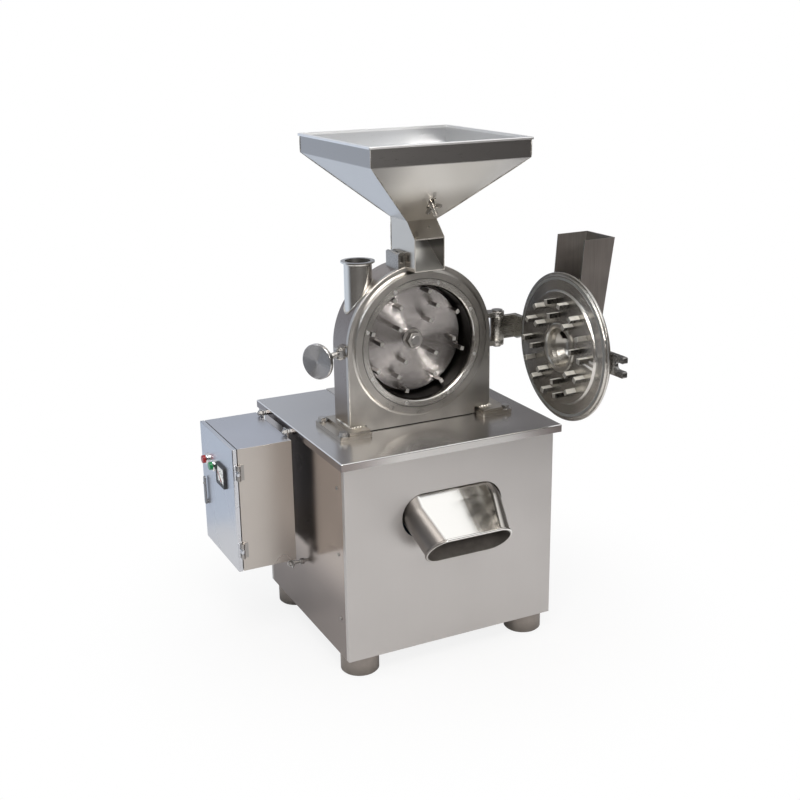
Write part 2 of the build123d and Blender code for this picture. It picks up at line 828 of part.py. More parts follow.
# Bearings: two rings of the usual section, with the groove between the races
bearings = []
for seat in bearing_seats:
    race = (shaft_radius + run_gap, bearing_radius)
    groove = ((race[0] + race[1] - race_groove) / 2, (race[0] + race[1] + race_groove) / 2)
    bearing_points = [
        (race[0], seat),
        (groove[0], seat),
        (groove[0], seat + edge_break),
        (groove[1], seat + edge_break),
        (groove[1], seat),
        (race[1], seat),
        (race[1], seat + bearing_width),
        (race[0], seat + bearing_width),
    ]
    bearings.append(turned(bearing_points, axis_z))
save("bearings", *bearings)

# Rubber seals: ring round the shaft in the rear wall, and a frame under the outlet skirt
seal_points = [
    (shaft_radius + free_gap, chamber_back),
    (seal_radius - run_gap, chamber_back),
    (seal_radius - run_gap, shell_back),
    (shaft_radius + free_gap, shell_back),
]
gasket_x = skirt_half_width - gasket_inset
gasket_y = (face_front + gasket_inset, shell_back - gasket_inset)
outlet_frame = block(-gasket_x, gasket_x, *gasket_y, plate_top, skirt_bottom)
outlet_frame -= block(
    -gasket_x + gasket_frame,
    gasket_x - gasket_frame,
    gasket_y[0] + gasket_frame,
    gasket_y[1] - gasket_frame,
    plate_top - past,
    skirt_bottom + past,
)
save("rubber_seals", turned(seal_points, axis_z), outlet_frame)

# Main shaft: stepped, from the rotor nut to the pulley
hub_back = rotor_back + rotor_hub
washer_front = rotor_front - washer_sheet
nut_front = washer_front - nut_height
nose_front = nut_front - 2 * edge_break
seat_start = sleeve_end + bearing_cap - edge_break
shaft_points = [
    (0, nose_front),
    (shaft_nose - edge_break, nose_front),
    (shaft_nose, nut_front - edge_break),
    (shaft_nose, rotor_front),
    (shaft_seat, rotor_front),
    (shaft_seat, hub_back),
    (shaft_radius, hub_back),
    (shaft_radius, seat_start),
    (shaft_seat, seat_start),
    (shaft_seat, pulley_back + shaft_past),
    (0, pulley_back + shaft_past),
]
save("main_shaft", turned(shaft_points, axis_z))

# Rotor disc: turned plate with a hub on the shaft
rotor_points = [
    (shaft_seat + run_gap, rotor_front),
    (rotor_radius - edge_break, rotor_front),
    (rotor_radius, rotor_front + edge_break),
    (rotor_radius, rotor_back),
    (rotor_hub_radius, rotor_back),
    (rotor_hub_radius, hub_back),
    (shaft_seat + run_gap, hub_back),
]
save("rotor_disc", turned(rotor_points, axis_z))


# Rotor pins: square bars in three circles on the disc
def pin_circle(count, radius, phase, side, y0, y1):
    """Square pins in a circle about the shaft axis, angles from +X towards +Z."""
    pin = Pos(radius, 0, 0) * Box(side, y1 - y0, side)
    place = Pos(0, (y0 + y1) / 2, axis_z)
    return [place * Rot(0, -phase - 360 * index / count, 0) * pin for index in range(count)]


rotor_pin_tip = rotor_front - rotor_pin_length
rotor_pins = pin_circle(4, rotor_inner_circle, 54, rotor_pin_side, rotor_pin_tip, rotor_front)
rotor_pins += pin_circle(6, rotor_middle_circle, -3, rotor_pin_side, rotor_pin_tip, rotor_front)
rotor_pins += pin_circle(8, rotor_outer_circle, 30, rotor_pin_side, rotor_pin_tip, rotor_front)
save("rotor_pins", *rotor_pins)

# Rotor nut: hexagon nut with a washer, bevelled at the front
nut_plane = Plane(origin=(0, washer_front, axis_z), x_dir=(1, 0, 0), z_dir=(0, -1, 0))
rotor_nut = extrude(nut_plane * RegularPolygon(nut_flats / 2, 6, major_radius=False), nut_height)
bevel = nut_flats / 2
nut_bevel = [
    (0, washer_front + sunk),
    (bevel * 1.3, washer_front + sunk),
    (bevel * 1.3, nut_front + bevel * 0.2),
    (bevel * 0.98, nut_front),
    (0, nut_front),
]
rotor_nut &= turned(nut_bevel, axis_z)
rotor_nut += rod_y(nut_flats * 0.72, washer_front, rotor_front, 0, axis_z)
rotor_nut -= rod_y(shaft_nose + run_gap, nut_front - past, rotor_front + past, 0, axis_z)
save("rotor_nut", rotor_nut)

# Pulleys: two grooves each, on the mill shaft and on the motor shaft
belt_middles = [(pulley_front + pulley_back) / 2 + step * belt_pitch for step in (-0.5, 0.5)]
belt_lean = 0.31  # a groove's flank moves in by this share of its depth


def pulley(radius, z):
    """A grooved wheel with a hub bore."""
    groove_top = belt_top / 2 + groove_slack
    groove_foot = groove_top - belt_lean * groove_depth
    points = [(shaft_seat + run_gap, pulley_front), (radius, pulley_front)]
    for middle in belt_middles:
        points += [
            (radius, middle - groove_top),
            (radius - groove_depth, middle - groove_foot),
            (radius - groove_depth, middle + groove_foot),
            (radius, middle + groove_top),
        ]
    points += [(radius, pulley_back), (shaft_seat + run_gap, pulley_back)]
    return turned(points, z)


motor_z = beam_top + motor_height
save("mill_pulley", pulley(mill_pulley_radius, axis_z))
save("motor_pulley", pulley(motor_pulley_radius, motor_z))


# V-belts: two loops of wedge section round both pulleys
def belt(y):
    """A closed belt whose back is level with the pulleys' rims."""
    lean = math.asin((motor_pulley_radius - mill_pulley_radius) / (axis_z - motor_z))
    c = math.cos(lean)
    s = math.sin(lean)

    def rim_point(radius, z, side):
        return (side * radius * c, y, z + radius * s)

    upper_right = rim_point(mill_pulley_radius, axis_z, 1)
    upper_left = rim_point(mill_pulley_radius, axis_z, -1)
    lower_right = rim_point(motor_pulley_radius, motor_z, 1)
    lower_left = rim_point(motor_pulley_radius, motor_z, -1)
    upper_crown = (0, y, axis_z + mill_pulley_radius)
    lower_crown = (0, y, motor_z - motor_pulley_radius)
    loop = Wire(
        [
            Edge.make_three_point_arc(upper_right, upper_crown, upper_left),
            Edge.make_line(upper_left, lower_left),
            Edge.make_three_point_arc(lower_left, lower_crown, lower_right),
            Edge.make_line(lower_right, upper_right),
        ]
    )
    wide = belt_top / 2
    narrow = wide - belt_lean * belt_thickness
    section = outline((-wide, 0), (wide, 0), (narrow, belt_thickness), (-narrow, belt_thickness))
    start = Plane(origin=upper_right, x_dir=(0, 1, 0), z_dir=(-s, 0, c))
    return sweep(start * section, path=loop)


save("v_belts", *[belt(middle) for middle in belt_middles])

# Motor: finned frame with feet, drive-end bell and terminal box
fin_radius = motor_radius + fin_height
motor_frame = rod_y(motor_radius, motor_start, motor_end, 0, motor_z)
fin = Box(2 * fin_radius, motor_length - 2 * bell_cover - past, fin_thickness)
for index in range(fin_count // 2):
    motor_frame += Pos(0, (motor_start + motor_end) / 2, motor_z) * Rot(0, 360 * index / fin_count, 0) * fin
for place in beam_places:
    near = (place - tube_side / 2, place + tube_side / 2)
    motor_frame += block(-motor_foot, motor_foot, *near, beam_top, beam_top + motor_foot_thickness)
    for side in (-1, 1):
        web = sorted((side * motor_foot * 0.55, side * motor_foot * 0.75))
        motor_frame += block(*web, *near, beam_top, motor_z - motor_radius * 0.5)
bell_radius = motor_radius + motor_bell_step
bell_points = [
    (0, motor_end - bell_cover),
    (bell_radius, motor_end - bell_cover),
    (bell_radius, motor_end + motor_bell * 0.15),
    (motor_radius * 0.6, motor_end + motor_bell * 0.6),
    (motor_radius * 0.4, motor_end + motor_bell * 0.7),
    (motor_radius * 0.4, motor_end + motor_bell * 0.92),
    (0, motor_end + motor_bell * 0.92),
]
motor_frame += turned(bell_points, motor_z)
terminal_base = motor_z + motor_radius
terminal_front = motor_start + terminal_place
terminal_box = block(
    -terminal_width / 2,
    terminal_width / 2,
    terminal_front,
    terminal_front + terminal_length,
    terminal_base - terminal_sink,
    terminal_base + terminal_height,
)
motor_frame += fillet(terminal_box.edges().filter_by(Axis.Z), terminal_corner)
shaft_start = motor_start + motor_shaft_room
motor_frame -= rod_y(shaft_seat + run_gap, shaft_start, motor_end + motor_bell, 0, motor_z)
save("motor_frame", motor_frame)

# Fan cover: thin cup over the motor's far end, with a slotted grille
cover_end = motor_start - fan_cover_length
cover_points = [
    (0, cover_end),
    (fin_radius - cover_corner, cover_end),
    (fin_radius, cover_end + cover_corner),
    (fin_radius, motor_start),
    (fin_radius - cover_sheet, motor_start),
    (fin_radius - cover_sheet, cover_end + cover_corner + cover_sheet / 2),
    (fin_radius - cover_corner - cover_sheet / 2, cover_end + cover_sheet),
    (0, cover_end + cover_sheet),
]
fan_cover = turned(cover_points, motor_z)
for step in range(-3, 4):
    reach = math.sqrt((fin_radius - grille_pitch) ** 2 - (step * grille_pitch) ** 2)
    low = motor_z + step * grille_pitch - grille_slot / 2
    fan_cover -= block(
        -reach, reach, cover_end - past, cover_end + 2 * cover_sheet, low, low + grille_slot
    )
cover_seat = [
    (motor_radius + run_gap, motor_start),
    (fin_radius, motor_start),
    (fin_radius, motor_start + cover_seat_width),
    (motor_radius + run_gap, motor_start + cover_seat_width),
]
fan_cover += turned(cover_seat, motor_z)
save("motor_fan_cover", fan_cover)

# Motor shaft: plain end that carries the pulley
save("motor_shaft", rod_y(shaft_seat, shaft_start + 2 * free_gap, pulley_back + shaft_past, 0, motor_z))

# Belt guard: arched sheet cover with a flange on the top plate
guard_flange_back = half_y - plate_sheet
guard = slab_y(arch(guard_half_width, plate_top, guard_half_width, plate_top), guard_front, guard_back)
guard += block(
    -guard_flange_x,
    guard_flange_x,
    guard_front,
    guard_flange_back,
    plate_top,
    plate_top + guard_sheet,
)
guard_room = guard_half_width - guard_sheet
guard -= slab_y(
    arch(guard_room, plate_top - past, guard_room, plate_top - past),
    guard_front + guard_sheet,
    guard_back - guard_sheet,
)
guard -= rod_y(shaft_radius + shaft_past, guard_front - past, guard_front + past, 0, axis_z)
save("belt_guard", guard)

# Vent pipe: short tube with a clamp ferrule, set on the shell's arch
vent_pipe = rod_z(vent_radius, axis_z, vent_top - vent_ferrule_height, vent_x, vent_y)
ferrule = rod_z(vent_ferrule, vent_top - vent_ferrule_height, vent_top, vent_x, vent_y)
vent_pipe += chamfer(ferrule.edges().group_by(Axis.Z)[0], *vent_ferrule_bevel)
vent_pipe -= rod_y(shell_radius, face_back, shell_back, 0, axis_z)
vent_pipe -= rod_z(vent_bore, axis_z - past, vent_top + past, vent_x, vent_y)
save("vent_pipe", vent_pipe)

# Feed duct: sheet elbow from the hopper's neck to a mouth over the door
duct_rear = ring_front + duct_back
duct_front = ring_front - duct_neck
duct_lip = ring_front - duct_mouth
lip_z = crown_z - duct_drop
brow_z = crown_z + duct_brow
neck_z = crown_z + duct_top
duct_inner = duct_half_width - duct_sheet
duct_seat = axis_z + math.sqrt(arch_radius**2 - duct_inner**2) + free_gap
floor_slope = duct_floor_rise / (duct_rear - duct_lip)
roof_slope = (neck_z - brow_z) / (duct_front - duct_lip)


def floor_z(y):
    """Height of the duct's floor."""
    return lip_z + duct_sheet + (y - duct_lip) * floor_slope


def roof_z(y):
    """Height of the inside of the duct's roof."""
    return brow_z - 1.4 * duct_sheet + (y - duct_lip) * roof_slope


duct_side = outline(
    (duct_rear, duct_seat),
    (duct_rear, neck_z),
    (duct_front, neck_z),
    (duct_lip, brow_z),
    (duct_lip, lip_z),
    (face_front - duct_foot_gap, lip_z),
    (face_front - duct_foot_gap, duct_seat),
)
duct = slab_x(duct_side, -duct_half_width, duct_half_width)
throat = duct_front + duct_sheet
passage = outline(
    (duct_lip - past, floor_z(duct_lip - past)),
    (duct_rear - duct_sheet, floor_z(duct_rear - duct_sheet)),
    (duct_rear - duct_sheet, neck_z + past),
    (throat, neck_z + past),
    (throat, roof_z(throat)),
    (duct_lip - past, roof_z(duct_lip - past)),
)
duct -= slab_x(passage, -duct_inner, duct_inner)
under_floor = duct_sheet * 1.3
strip_y = duct_lip + duct_lip_strip
below = outline(
    (strip_y, lip_z - past),
    (duct_rear - duct_sheet, lip_z - past),
    (duct_rear - duct_sheet, floor_z(duct_rear - duct_sheet) - under_floor),
    (strip_y, floor_z(strip_y) - under_floor),
)
duct -= slab_x(below, -duct_inner, duct_inner)
duct -= rod_y(arch_radius + free_gap, face_front - duct_foot_gap, shell_back, 0, axis_z)
save("feed_duct", duct)

# Duct brackets: grooved bars on the arch either side of the duct, with a slotted lug before each
bracket_top = duct_seat + bracket_height
lug_y = (face_front + edge_round, face_back)
brackets = []
for side in (-1, 1):
    across = sorted((side * duct_half_width, side * (duct_half_width + bracket_width)))
    middle = side * (duct_half_width + bracket_width / 2)
    bar = block(*across, face_back + free_gap, face_back + bracket_length, axis_z, bracket_top)
    bar = fillet(bar.edges().group_by(Axis.Z)[-1], bracket_corner)
    bar -= block(
        middle - bracket_groove / 2,
        middle + bracket_groove / 2,
        face_back,
        face_back + bracket_length + past,
        bracket_top - bracket_groove_depth,
        bracket_top + past,
    )
    bar -= rod_y(shell_radius, face_back, face_back + bracket_length + past, 0, axis_z)
    brackets.append(bar)
    lug = block(*across, *lug_y, axis_z, duct_seat + lug_height)
    lug = fillet(lug.edges().filter_by(Axis.Y).group_by(Axis.Z)[-1], bracket_width * 0.4)
    lug -= slab_y(
        Pos(middle, duct_seat + lug_height / 2) * SlotOverall(lug_slot_height, lug_slot, rotation=90),
        lug_y[0] - past,
        lug_y[1] + past,
    )
    brackets.append(lug - rod_y(arch_radius, *lug_y, 0, axis_z))
save("duct_brackets", *brackets)


# Hopper: square funnel with an upright band, a rolled rim and a collar in the duct
def level(z, x, y0, y1):
    """A rectangle at one height."""
    return Pos(0, (y0 + y1) / 2, z) * Rectangle(2 * x, y1 - y0)


hopper_y = ring_front + hopper_middle
hopper_front = hopper_y - hopper_half
hopper_rear = hopper_y + hopper_half
hopper_top = neck_z + hopper_height
band_z = hopper_top - hopper_band
hopper = loft(
    [
        level(neck_z, duct_half_width, duct_front, duct_rear),
        level(band_z, hopper_half, hopper_front, hopper_rear),
    ],
    ruled=True,
)
hopper += block(-hopper_half, hopper_half, hopper_front, hopper_rear, band_z, hopper_top)
rim_out = hopper_half + hopper_rim
hopper_lip = block(
    -rim_out, rim_out, hopper_y - rim_out, hopper_y + rim_out, hopper_top - hopper_rim * 1.2, hopper_top
)
hopper_lip = fillet(hopper_lip.edges().filter_by(Axis.Z), hopper_rim)
hopper_lip = fillet(hopper_lip.edges().group_by(Axis.Z)[-1], hopper_rim * 0.5)
hopper += hopper_lip
collar_x = duct_inner - free_gap
collar_front = throat + free_gap
collar_rear = duct_rear - duct_sheet - free_gap
hopper += block(-collar_x, collar_x, collar_front, collar_rear, neck_z - collar_depth, neck_z)
throat_x = collar_x - hopper_sheet
throat_front = collar_front + hopper_sheet
throat_rear = collar_rear - hopper_sheet
hopper -= block(-throat_x, throat_x, throat_front, throat_rear, neck_z - collar_depth, neck_z + sunk)
hopper -= loft(
    [
        level(neck_z, throat_x, throat_front, throat_rear),
        level(
            band_z,
            hopper_half - hopper_sheet,
            hopper_front + hopper_sheet,
            hopper_rear - hopper_sheet,
        ),
    ],
    ruled=True,
)
hopper -= block(
    -hopper_half + hopper_sheet,
    hopper_half - hopper_sheet,
    hopper_front + hopper_sheet,
    hopper_rear - hopper_sheet,
    band_z,
    hopper_top,
)

# Slope of the hopper's front wall: run and rise inside, and the plane the gate slides in
slope_run = (hopper_front + hopper_sheet) - throat_front
slope_rise = band_z - neck_z
slope_length = math.hypot(slope_run, slope_rise)
slope_up = (0, slope_run / slope_length, slope_rise / slope_length)
slope_out = (0, -slope_up[2], slope_up[1])
gate_plane = Plane(
    origin=(0, throat_front + gate_place * slope_up[1], neck_z + gate_place * slope_up[2]),
    x_dir=(1, 0, 0),
    z_dir=slope_out,
)
stud_room = stud_radius + slot_slack
stud_slot = extrude(
    gate_plane * (Rot(0, 0, 90) * SlotOverall(2 * (gate_travel + stud_room), 2 * stud_room)),
    3 * past,
    both=True,
)
save("hopper", hopper - stud_slot)

# Feed gate: slide plate inside the front wall, with a stud through the slot and its washer
wall_out = hopper_sheet * 2.2
gate_middle = gate_length / 2 - gate_place + gate_travel + past
gate = gate_plane * Pos(0, gate_middle, -free_gap - gate_sheet / 2) * Box(gate_width, gate_length, gate_sheet)
gate += gate_plane * Pos(0, 0, -free_gap - gate_sheet / 2) * Cylinder(
    stud_radius, stud_length, align=(Align.CENTER, Align.CENTER, Align.MIN)
)
save("feed_gate", gate)

# Wing nut: turned hub with two bent wings
hub = Pos(0, 0, wall_out + free_gap) * Cylinder(
    wing_hub, wing_hub_height, align=(Align.CENTER, Align.CENTER, Align.MIN)
)
wing_face = outline(
    (0, wall_out + wing_span * 0.1),
    (wing_span * 0.45, wall_out + wing_span * 0.28),
    (wing_span, wall_out + wing_span * 0.7),
    (wing_span * 0.86, wall_out + wing_span * 0.93),
    (wing_span * 0.55, wall_out + wing_span * 0.86),
    (0, wall_out + wing_span * 0.48),
)
wing = extrude(Plane.XZ * wing_face, wing_sheet / 2, both=True)
wings = hub + wing + Rot(0, 0, 180) * wing
wings -= Cylinder(stud_radius + run_gap, 4 * stud_length)
save("wing_nut", gate_plane * Rot(0, 0, wing_angle) * wings)

# Shell lugs and pivot pins: the hinge of the door on the right, the swing bolt's eye on the left
barrel_low = hinge_z - hinge_barrel_length / 2
barrel_high = hinge_z + hinge_barrel_length / 2
hinge_lug_face = outline(
    (shell_radius, face_back + lug_set),
    (shell_radius, face_back + hinge_lug_length),
    (hinge_x, hinge_y + hinge_barrel_radius),
    (hinge_x, hinge_y - hinge_barrel_radius),
    (hinge_x - hinge_lug_nose, face_back + lug_set),
)
hinge_lug_face += Pos(hinge_x, hinge_y) * Circle(hinge_barrel_radius)
hinge_lug_face -= Pos(hinge_x, hinge_y) * Circle(hinge_pin_radius + run_gap)
lugs = [
    slab_z(hinge_lug_face, barrel_high + free_gap, barrel_high + free_gap + hinge_lug),
    slab_z(hinge_lug_face, barrel_low - free_gap - hinge_lug, barrel_low - free_gap),
]
latch_lug_face = outline(
    (-shell_radius, face_back + lug_set),
    (-shell_radius, face_back + latch_lug_length),
    (latch_x - latch_eye_radius, latch_y + latch_lug_nose),
    (latch_x - latch_eye_radius, latch_y),
    (latch_x + latch_eye_radius, latch_y),
    (latch_x + latch_eye_radius, face_back + lug_set),
)
latch_lug_face += Pos(latch_x, latch_y) * Circle(latch_eye_radius)
latch_lug_face -= Pos(latch_x, latch_y) * Circle(latch_pin_radius + run_gap)
eye_high = axis_z + latch_eye / 2
eye_low = axis_z - latch_eye / 2
lugs += [
    slab_z(latch_lug_face, eye_high + free_gap, eye_high + free_gap + latch_lug),
    slab_z(latch_lug_face, eye_low - free_gap - latch_lug, eye_low - free_gap),
]
save("shell_lugs", *lugs)


def pivot_pin(radius, low, high, x, y):
    """A pin with a flat head on top and a ring below."""
    pin = rod_z(radius, low - radius * 0.5, high + radius * 0.3, x, y)
    pin += rod_z(radius * 1.4, high, high + radius * 0.4, x, y)
    pin += rod_z(radius * 1.25, low - radius * 0.3, low, x, y)
    return pin


hinge_pin_low = barrel_low - free_gap - hinge_lug
hinge_pin_high = barrel_high + free_gap + hinge_lug
latch_pin_low = eye_low - free_gap - latch_lug
latch_pin_high = eye_high + free_gap + latch_lug
save(
    "pivot_pins",
    pivot_pin(hinge_pin_radius, hinge_pin_low, hinge_pin_high, hinge_x, hinge_y),
    pivot_pin(latch_pin_radius, latch_pin_low, latch_pin_high, latch_x, latch_y),
)


# Pin door: drawn closed, then swung open about its hinge
def swung(shape):
    """A piece of the door, turned from closed to the way it stands."""
    return Pos(hinge_x, hinge_y, 0) * Rot(0, 0, door_angle) * Pos(-hinge_x, -hinge_y, 0) * shape


spigot_radius = opening_radius - spigot_clearance
gasket_radius = ring_radius - gasket_margin
gasket_outer = gasket_radius + gasket_width
door_points = [
    (bowl_radius + run_gap, door_back),
    (door_radius - 2 * edge_break, door_back),
    (door_radius, door_back + 2 * edge_break),
    (door_radius, door_face - door_step_depth),
    (door_radius - door_step, door_face - door_step_depth),
    (door_radius - door_step, door_face),
    (gasket_outer, door_face),
    (gasket_outer, door_face - gasket_depth),
    (gasket_radius, door_face - gasket_depth),
    (gasket_radius, door_face),
    (spigot_radius, door_face),
    (spigot_radius - edge_break, spigot_face - edge_break),
    (spigot_radius - 2 * edge_break, spigot_face),
    (bowl_radius + run_gap, spigot_face),
]
save("door_disc", swung(turned(door_points, axis_z)))
gasket_points = [
    (gasket_radius + run_gap, door_face - gasket_depth),
    (gasket_outer - run_gap, door_face - gasket_depth),
    (gasket_outer - run_gap, door_face),
    (gasket_outer - edge_break, door_face + gasket_proud),
    (gasket_radius + edge_break, door_face + gasket_proud),
    (gasket_radius + run_gap, door_face),
]
save("door_gasket", swung(turned(gasket_points, axis_z)))

# Door pins: two circles that run between those of the rotor
stator_tip = spigot_face + stator_pin_length
door_pins = pin_circle(8, stator_inner_circle, -7, stator_pin_side, spigot_face, stator_tip)
door_pins += pin_circle(14, stator_outer_circle, 2, stator_pin_side, spigot_face, stator_tip)
save("door_pins", *[swung(pin) for pin in door_pins])

# Inlet bowl: polished funnel through the door, with a window under the feed chute
bowl_end = spigot_face - bowl_depth
bowl_outside = [
    (0, bowl_end),
    (bowl_floor + bowl_wall, bowl_end),
    (bowl_radius, door_back - bowl_wall),
    (bowl_radius, spigot_face),
    (bowl_flange, spigot_face),
    (bowl_flange, spigot_face + bowl_lip / 2),
    (bowl_flange - bowl_lip / 2, spigot_face + bowl_lip),
    (bowl_radius + bowl_lip / 2, spigot_face + bowl_lip),
]
bowl_mouth = bowl_radius - bowl_wall
bowl_bottom = bowl_end + bowl_wall
bowl_inside = [
    (bowl_mouth, spigot_face + bowl_lip / 2),
    (bowl_mouth - bowl_lip / 2, spigot_face - bowl_depth * 0.2),
    (bowl_mouth - bowl_lip * 1.5, spigot_face - bowl_depth * 0.45),
    (bowl_floor + bowl_lip * 1.5, bowl_bottom + bowl_lip * 1.5),
    (bowl_floor, bowl_bottom + bowl_lip * 0.5),
    (bowl_floor - bowl_lip * 1.5, bowl_bottom),
    (0, bowl_bottom),
]
bowl = turned(bowl_outside + bowl_inside, axis_z)
half_window = bowl_window / 2
bowl -= block(
    -half_window,
    half_window,
    bowl_end - past,
    door_back - bowl_wall,
    axis_z + bowl_window_rise,
    axis_z + bowl_radius + past,
)
save("inlet_bowl", swung(bowl))

# Feed chute: folded channel on the door's outside, rounded below and open at the top
chute_top = arch_radius + chute_rise
front_slope = (chute_top_depth - chute_foot_depth) / (chute_top - chute_foot)


def chute_core(half_width, front_shift, above):
    """The channel's outer or inner form, up to a height above its top edge."""
    face = Pos(0, axis_z) * Circle(half_width)
    tall = chute_top + above
    face += Pos(0, axis_z + tall / 2) * Rectangle(2 * half_width, tall)
    core = slab_y(face, door_back - 2 * chute_top_depth, door_back)
    low = -half_width - past
    wall = outline(
        (door_back, axis_z + low),
        (door_back, axis_z + tall),
        (door_back - chute_top_depth - above * front_slope + front_shift, axis_z + tall),
        (door_back - chute_foot_depth - (low - chute_foot) * front_slope + front_shift, axis_z + low),
    )
    return core & slab_x(wall, -half_width - past, half_width + past)


chute = chute_core(chute_half_width, 0, 0) - chute_core(chute_half_width - chute_sheet, chute_sheet, past)
open_back = outline(
    (door_back + past, axis_z + door_radius - past),
    (door_back, axis_z + door_radius - past),
    (door_back - chute_back_slope, axis_z + chute_top + past),
    (door_back + past, axis_z + chute_top + past),
)
chute -= slab_x(open_back, -2 * chute_half_width, 2 * chute_half_width)
save("feed_chute", swung(chute))

# Latch fork: slotted plate on the door that the swing bolt drops into
fork_half = fork_slot / 2 + fork_prong
fork_face = Pos(-(fork_root + fork_tip) / 2, axis_z) * Rectangle(fork_tip - fork_root, 2 * fork_half)
slot_end = -latch_x - swing_bolt_radius - past
fork_face -= Pos(-(slot_end + fork_tip + past) / 2, axis_z) * Rectangle(fork_tip + past - slot_end, fork_slot)
fork_face -= Pos(-slot_end, axis_z) * Circle(fork_slot / 2)
fork = slab_y(fork_face, door_back - arm_thickness, door_back)
fork = fillet(fork.edges().filter_by(Axis.Y).group_by(Axis.X)[0], fork_corner)
save("latch_fork", swung(fork))

# Hinge arm: barrel on the pin, an angled leg and a strap on the door
arm_face = Pos(hinge_x - arm_reach / 2 + arm_thickness / 4, hinge_z) * Rectangle(
    arm_reach + arm_thickness / 2, arm_height
)
hollow = arm_height * 1.2
arm_face -= Pos(hinge_x - arm_reach * 0.55, hinge_z - arm_height / 2 - hollow + arm_hollow) * Circle(hollow)
arm = slab_y(arm_face, door_back - arm_thickness, door_back)
leg = (hinge_x - arm_thickness / 2, hinge_x + arm_thickness / 2)
arm += block(*leg, door_back - sunk, hinge_y, hinge_z - arm_height / 2, hinge_z + arm_height / 2)
arm += rod_z(hinge_barrel_radius, barrel_low, barrel_high, hinge_x, hinge_y)
arm -= rod_z(hinge_pin_radius + run_gap, barrel_low - past, barrel_high + past, hinge_x, hinge_y)
save("hinge_arm", swung(arm))


# Swing bolt with washer and hand knob: drawn latched, then swung aside
def aside(shape):
    """A piece of the latch, turned from latched to the way it hangs."""
    return Pos(latch_x, latch_y, 0) * Rot(0, 0, -latch_angle) * Pos(-latch_x, -latch_y, 0) * shape


def about_bolt(points):
    """A turned piece on the swing bolt, from points of radius and distance to its axis."""
    return Pos(latch_x, 0, 0) * turned([(radius, latch_y - way) for radius, way in points], axis_z)


bolt_end = knob_start + knob_length - knob_cap
swing_bolt = rod_z(latch_eye_radius, eye_low, eye_high, latch_x, latch_y)
swing_bolt += rod_y(swing_bolt_radius, latch_y - bolt_end, latch_y, latch_x, axis_z)
swing_bolt -= rod_z(latch_pin_radius + run_gap, eye_low - past, eye_high + past, latch_x, latch_y)
save("swing_bolt", aside(swing_bolt))
bolt_bore = swing_bolt_radius + run_gap
washer_end = knob_start - free_gap
washer_points = [
    (bolt_bore, washer_end - clamp_washer),
    (clamp_washer_radius, washer_end - clamp_washer),
    (clamp_washer_radius, washer_end),
    (bolt_bore, washer_end),
]
save("clamp_washer", aside(about_bolt(washer_points)))
knob_end = knob_start + knob_length
knob_web = knob_end - 2 * knob_rim
knob_points = [
    (bolt_bore, knob_start),
    (knob_hub, knob_start),
    (knob_hub, knob_start + knob_hub_length),
    (knob_hub + knob_rim / 2, knob_start + knob_hub_length + knob_rim / 2),
    (knob_radius - knob_rim, knob_web),
    (knob_radius, knob_web + knob_rim * 0.6),
    (knob_radius, knob_end - edge_break),
    (knob_radius - edge_break, knob_end),
    (0, knob_end - knob_dish),
    (0, knob_end - knob_rim),
    (bolt_bore, knob_end - knob_rim),
]
save("hand_knob", aside(about_bolt(knob_points)))

# Control box: folded shell beside the cabinet, with a lip round its open face
box_back = -body_x - box_gap
door_outer = box_back - box_width
door_inner = door_outer + box_door
box_open = door_inner + box_door_gap
box_rear = box_front + box_depth
control_box = block(box_open, box_back, box_front, box_rear, box_bottom, box_top)
control_box -= block(
    box_open + box_sheet,
    box_back - box_sheet,
    box_front + box_sheet,
    box_rear - box_sheet,
    box_bottom + box_sheet,
    box_top - box_sheet,
)
control_box -= block(
    box_open - past,
    box_open + past,
    box_front + box_lip,
    box_rear - box_lip,
    box_bottom + box_lip,
    box_top - box_lip,
)
gland_x = (box_open + box_back) / 2
gland_y = (box_front + box_rear) / 2
control_box -= rod_z(gland_radius + bolt_gap, box_bottom - past, box_bottom + past, gland_x, gland_y)
save("control_box", control_box)

# Box brackets: ears on the box's back, each with a threaded standoff and nuts to the cabinet
brackets = []
lip_face = -half_x
for middle in (box_front + ear_inset, box_rear - ear_inset):
    ear_y = (middle - ear_width / 2, middle + ear_width / 2)
    for low, high, hole_z, seat in (
        (box_top - ear_lap, box_top + ear_height, box_top + ear_height / 2, lip_face),
        (box_bottom - ear_drop, box_bottom + ear_lap, box_bottom - ear_drop + ear_height / 2, -body_x),
    ):
        bracket = block(box_back, box_back + ear_sheet, *ear_y, low, high)
        bracket += rod_x(ear_stud, box_back - ear_nut - ear_sheet, seat, middle, hole_z)
        for nut_x in (box_back - ear_nut, box_back + ear_sheet, seat - ear_nut):
            nut_seat = Plane(origin=(nut_x, middle, hole_z), x_dir=(0, 1, 0), z_dir=(1, 0, 0))
            bracket += extrude(nut_seat * RegularPolygon(ear_nut_flats / 2, 6, major_radius=False), ear_nut)
        brackets.append(bracket)
save("box_brackets", *brackets)

# Cable gland: hexagon and dome under the box, nut inside
nut_half = gland_radius / 2
gland = rod_z(gland_radius, box_bottom - gland_radius, box_bottom + box_sheet + nut_half, gland_x, gland_y)
gland += Pos(gland_x, gland_y, box_bottom - gland_radius) * hexagon(gland_flats, gland_radius)
gland += Pos(gland_x, gland_y, box_bottom + box_sheet) * hexagon(gland_flats, nut_half)
dome = rod_z(gland_dome, box_bottom - 2 * gland_dome, box_bottom - gland_radius, gland_x, gland_y)
gland += fillet(dome.edges().group_by(Axis.Z)[0], nut_half)
gland -= rod_z(gland_bore, box_bottom - 3 * gland_dome, box_bottom + gland_dome, gland_x, gland_y)
save("cable_gland", gland)

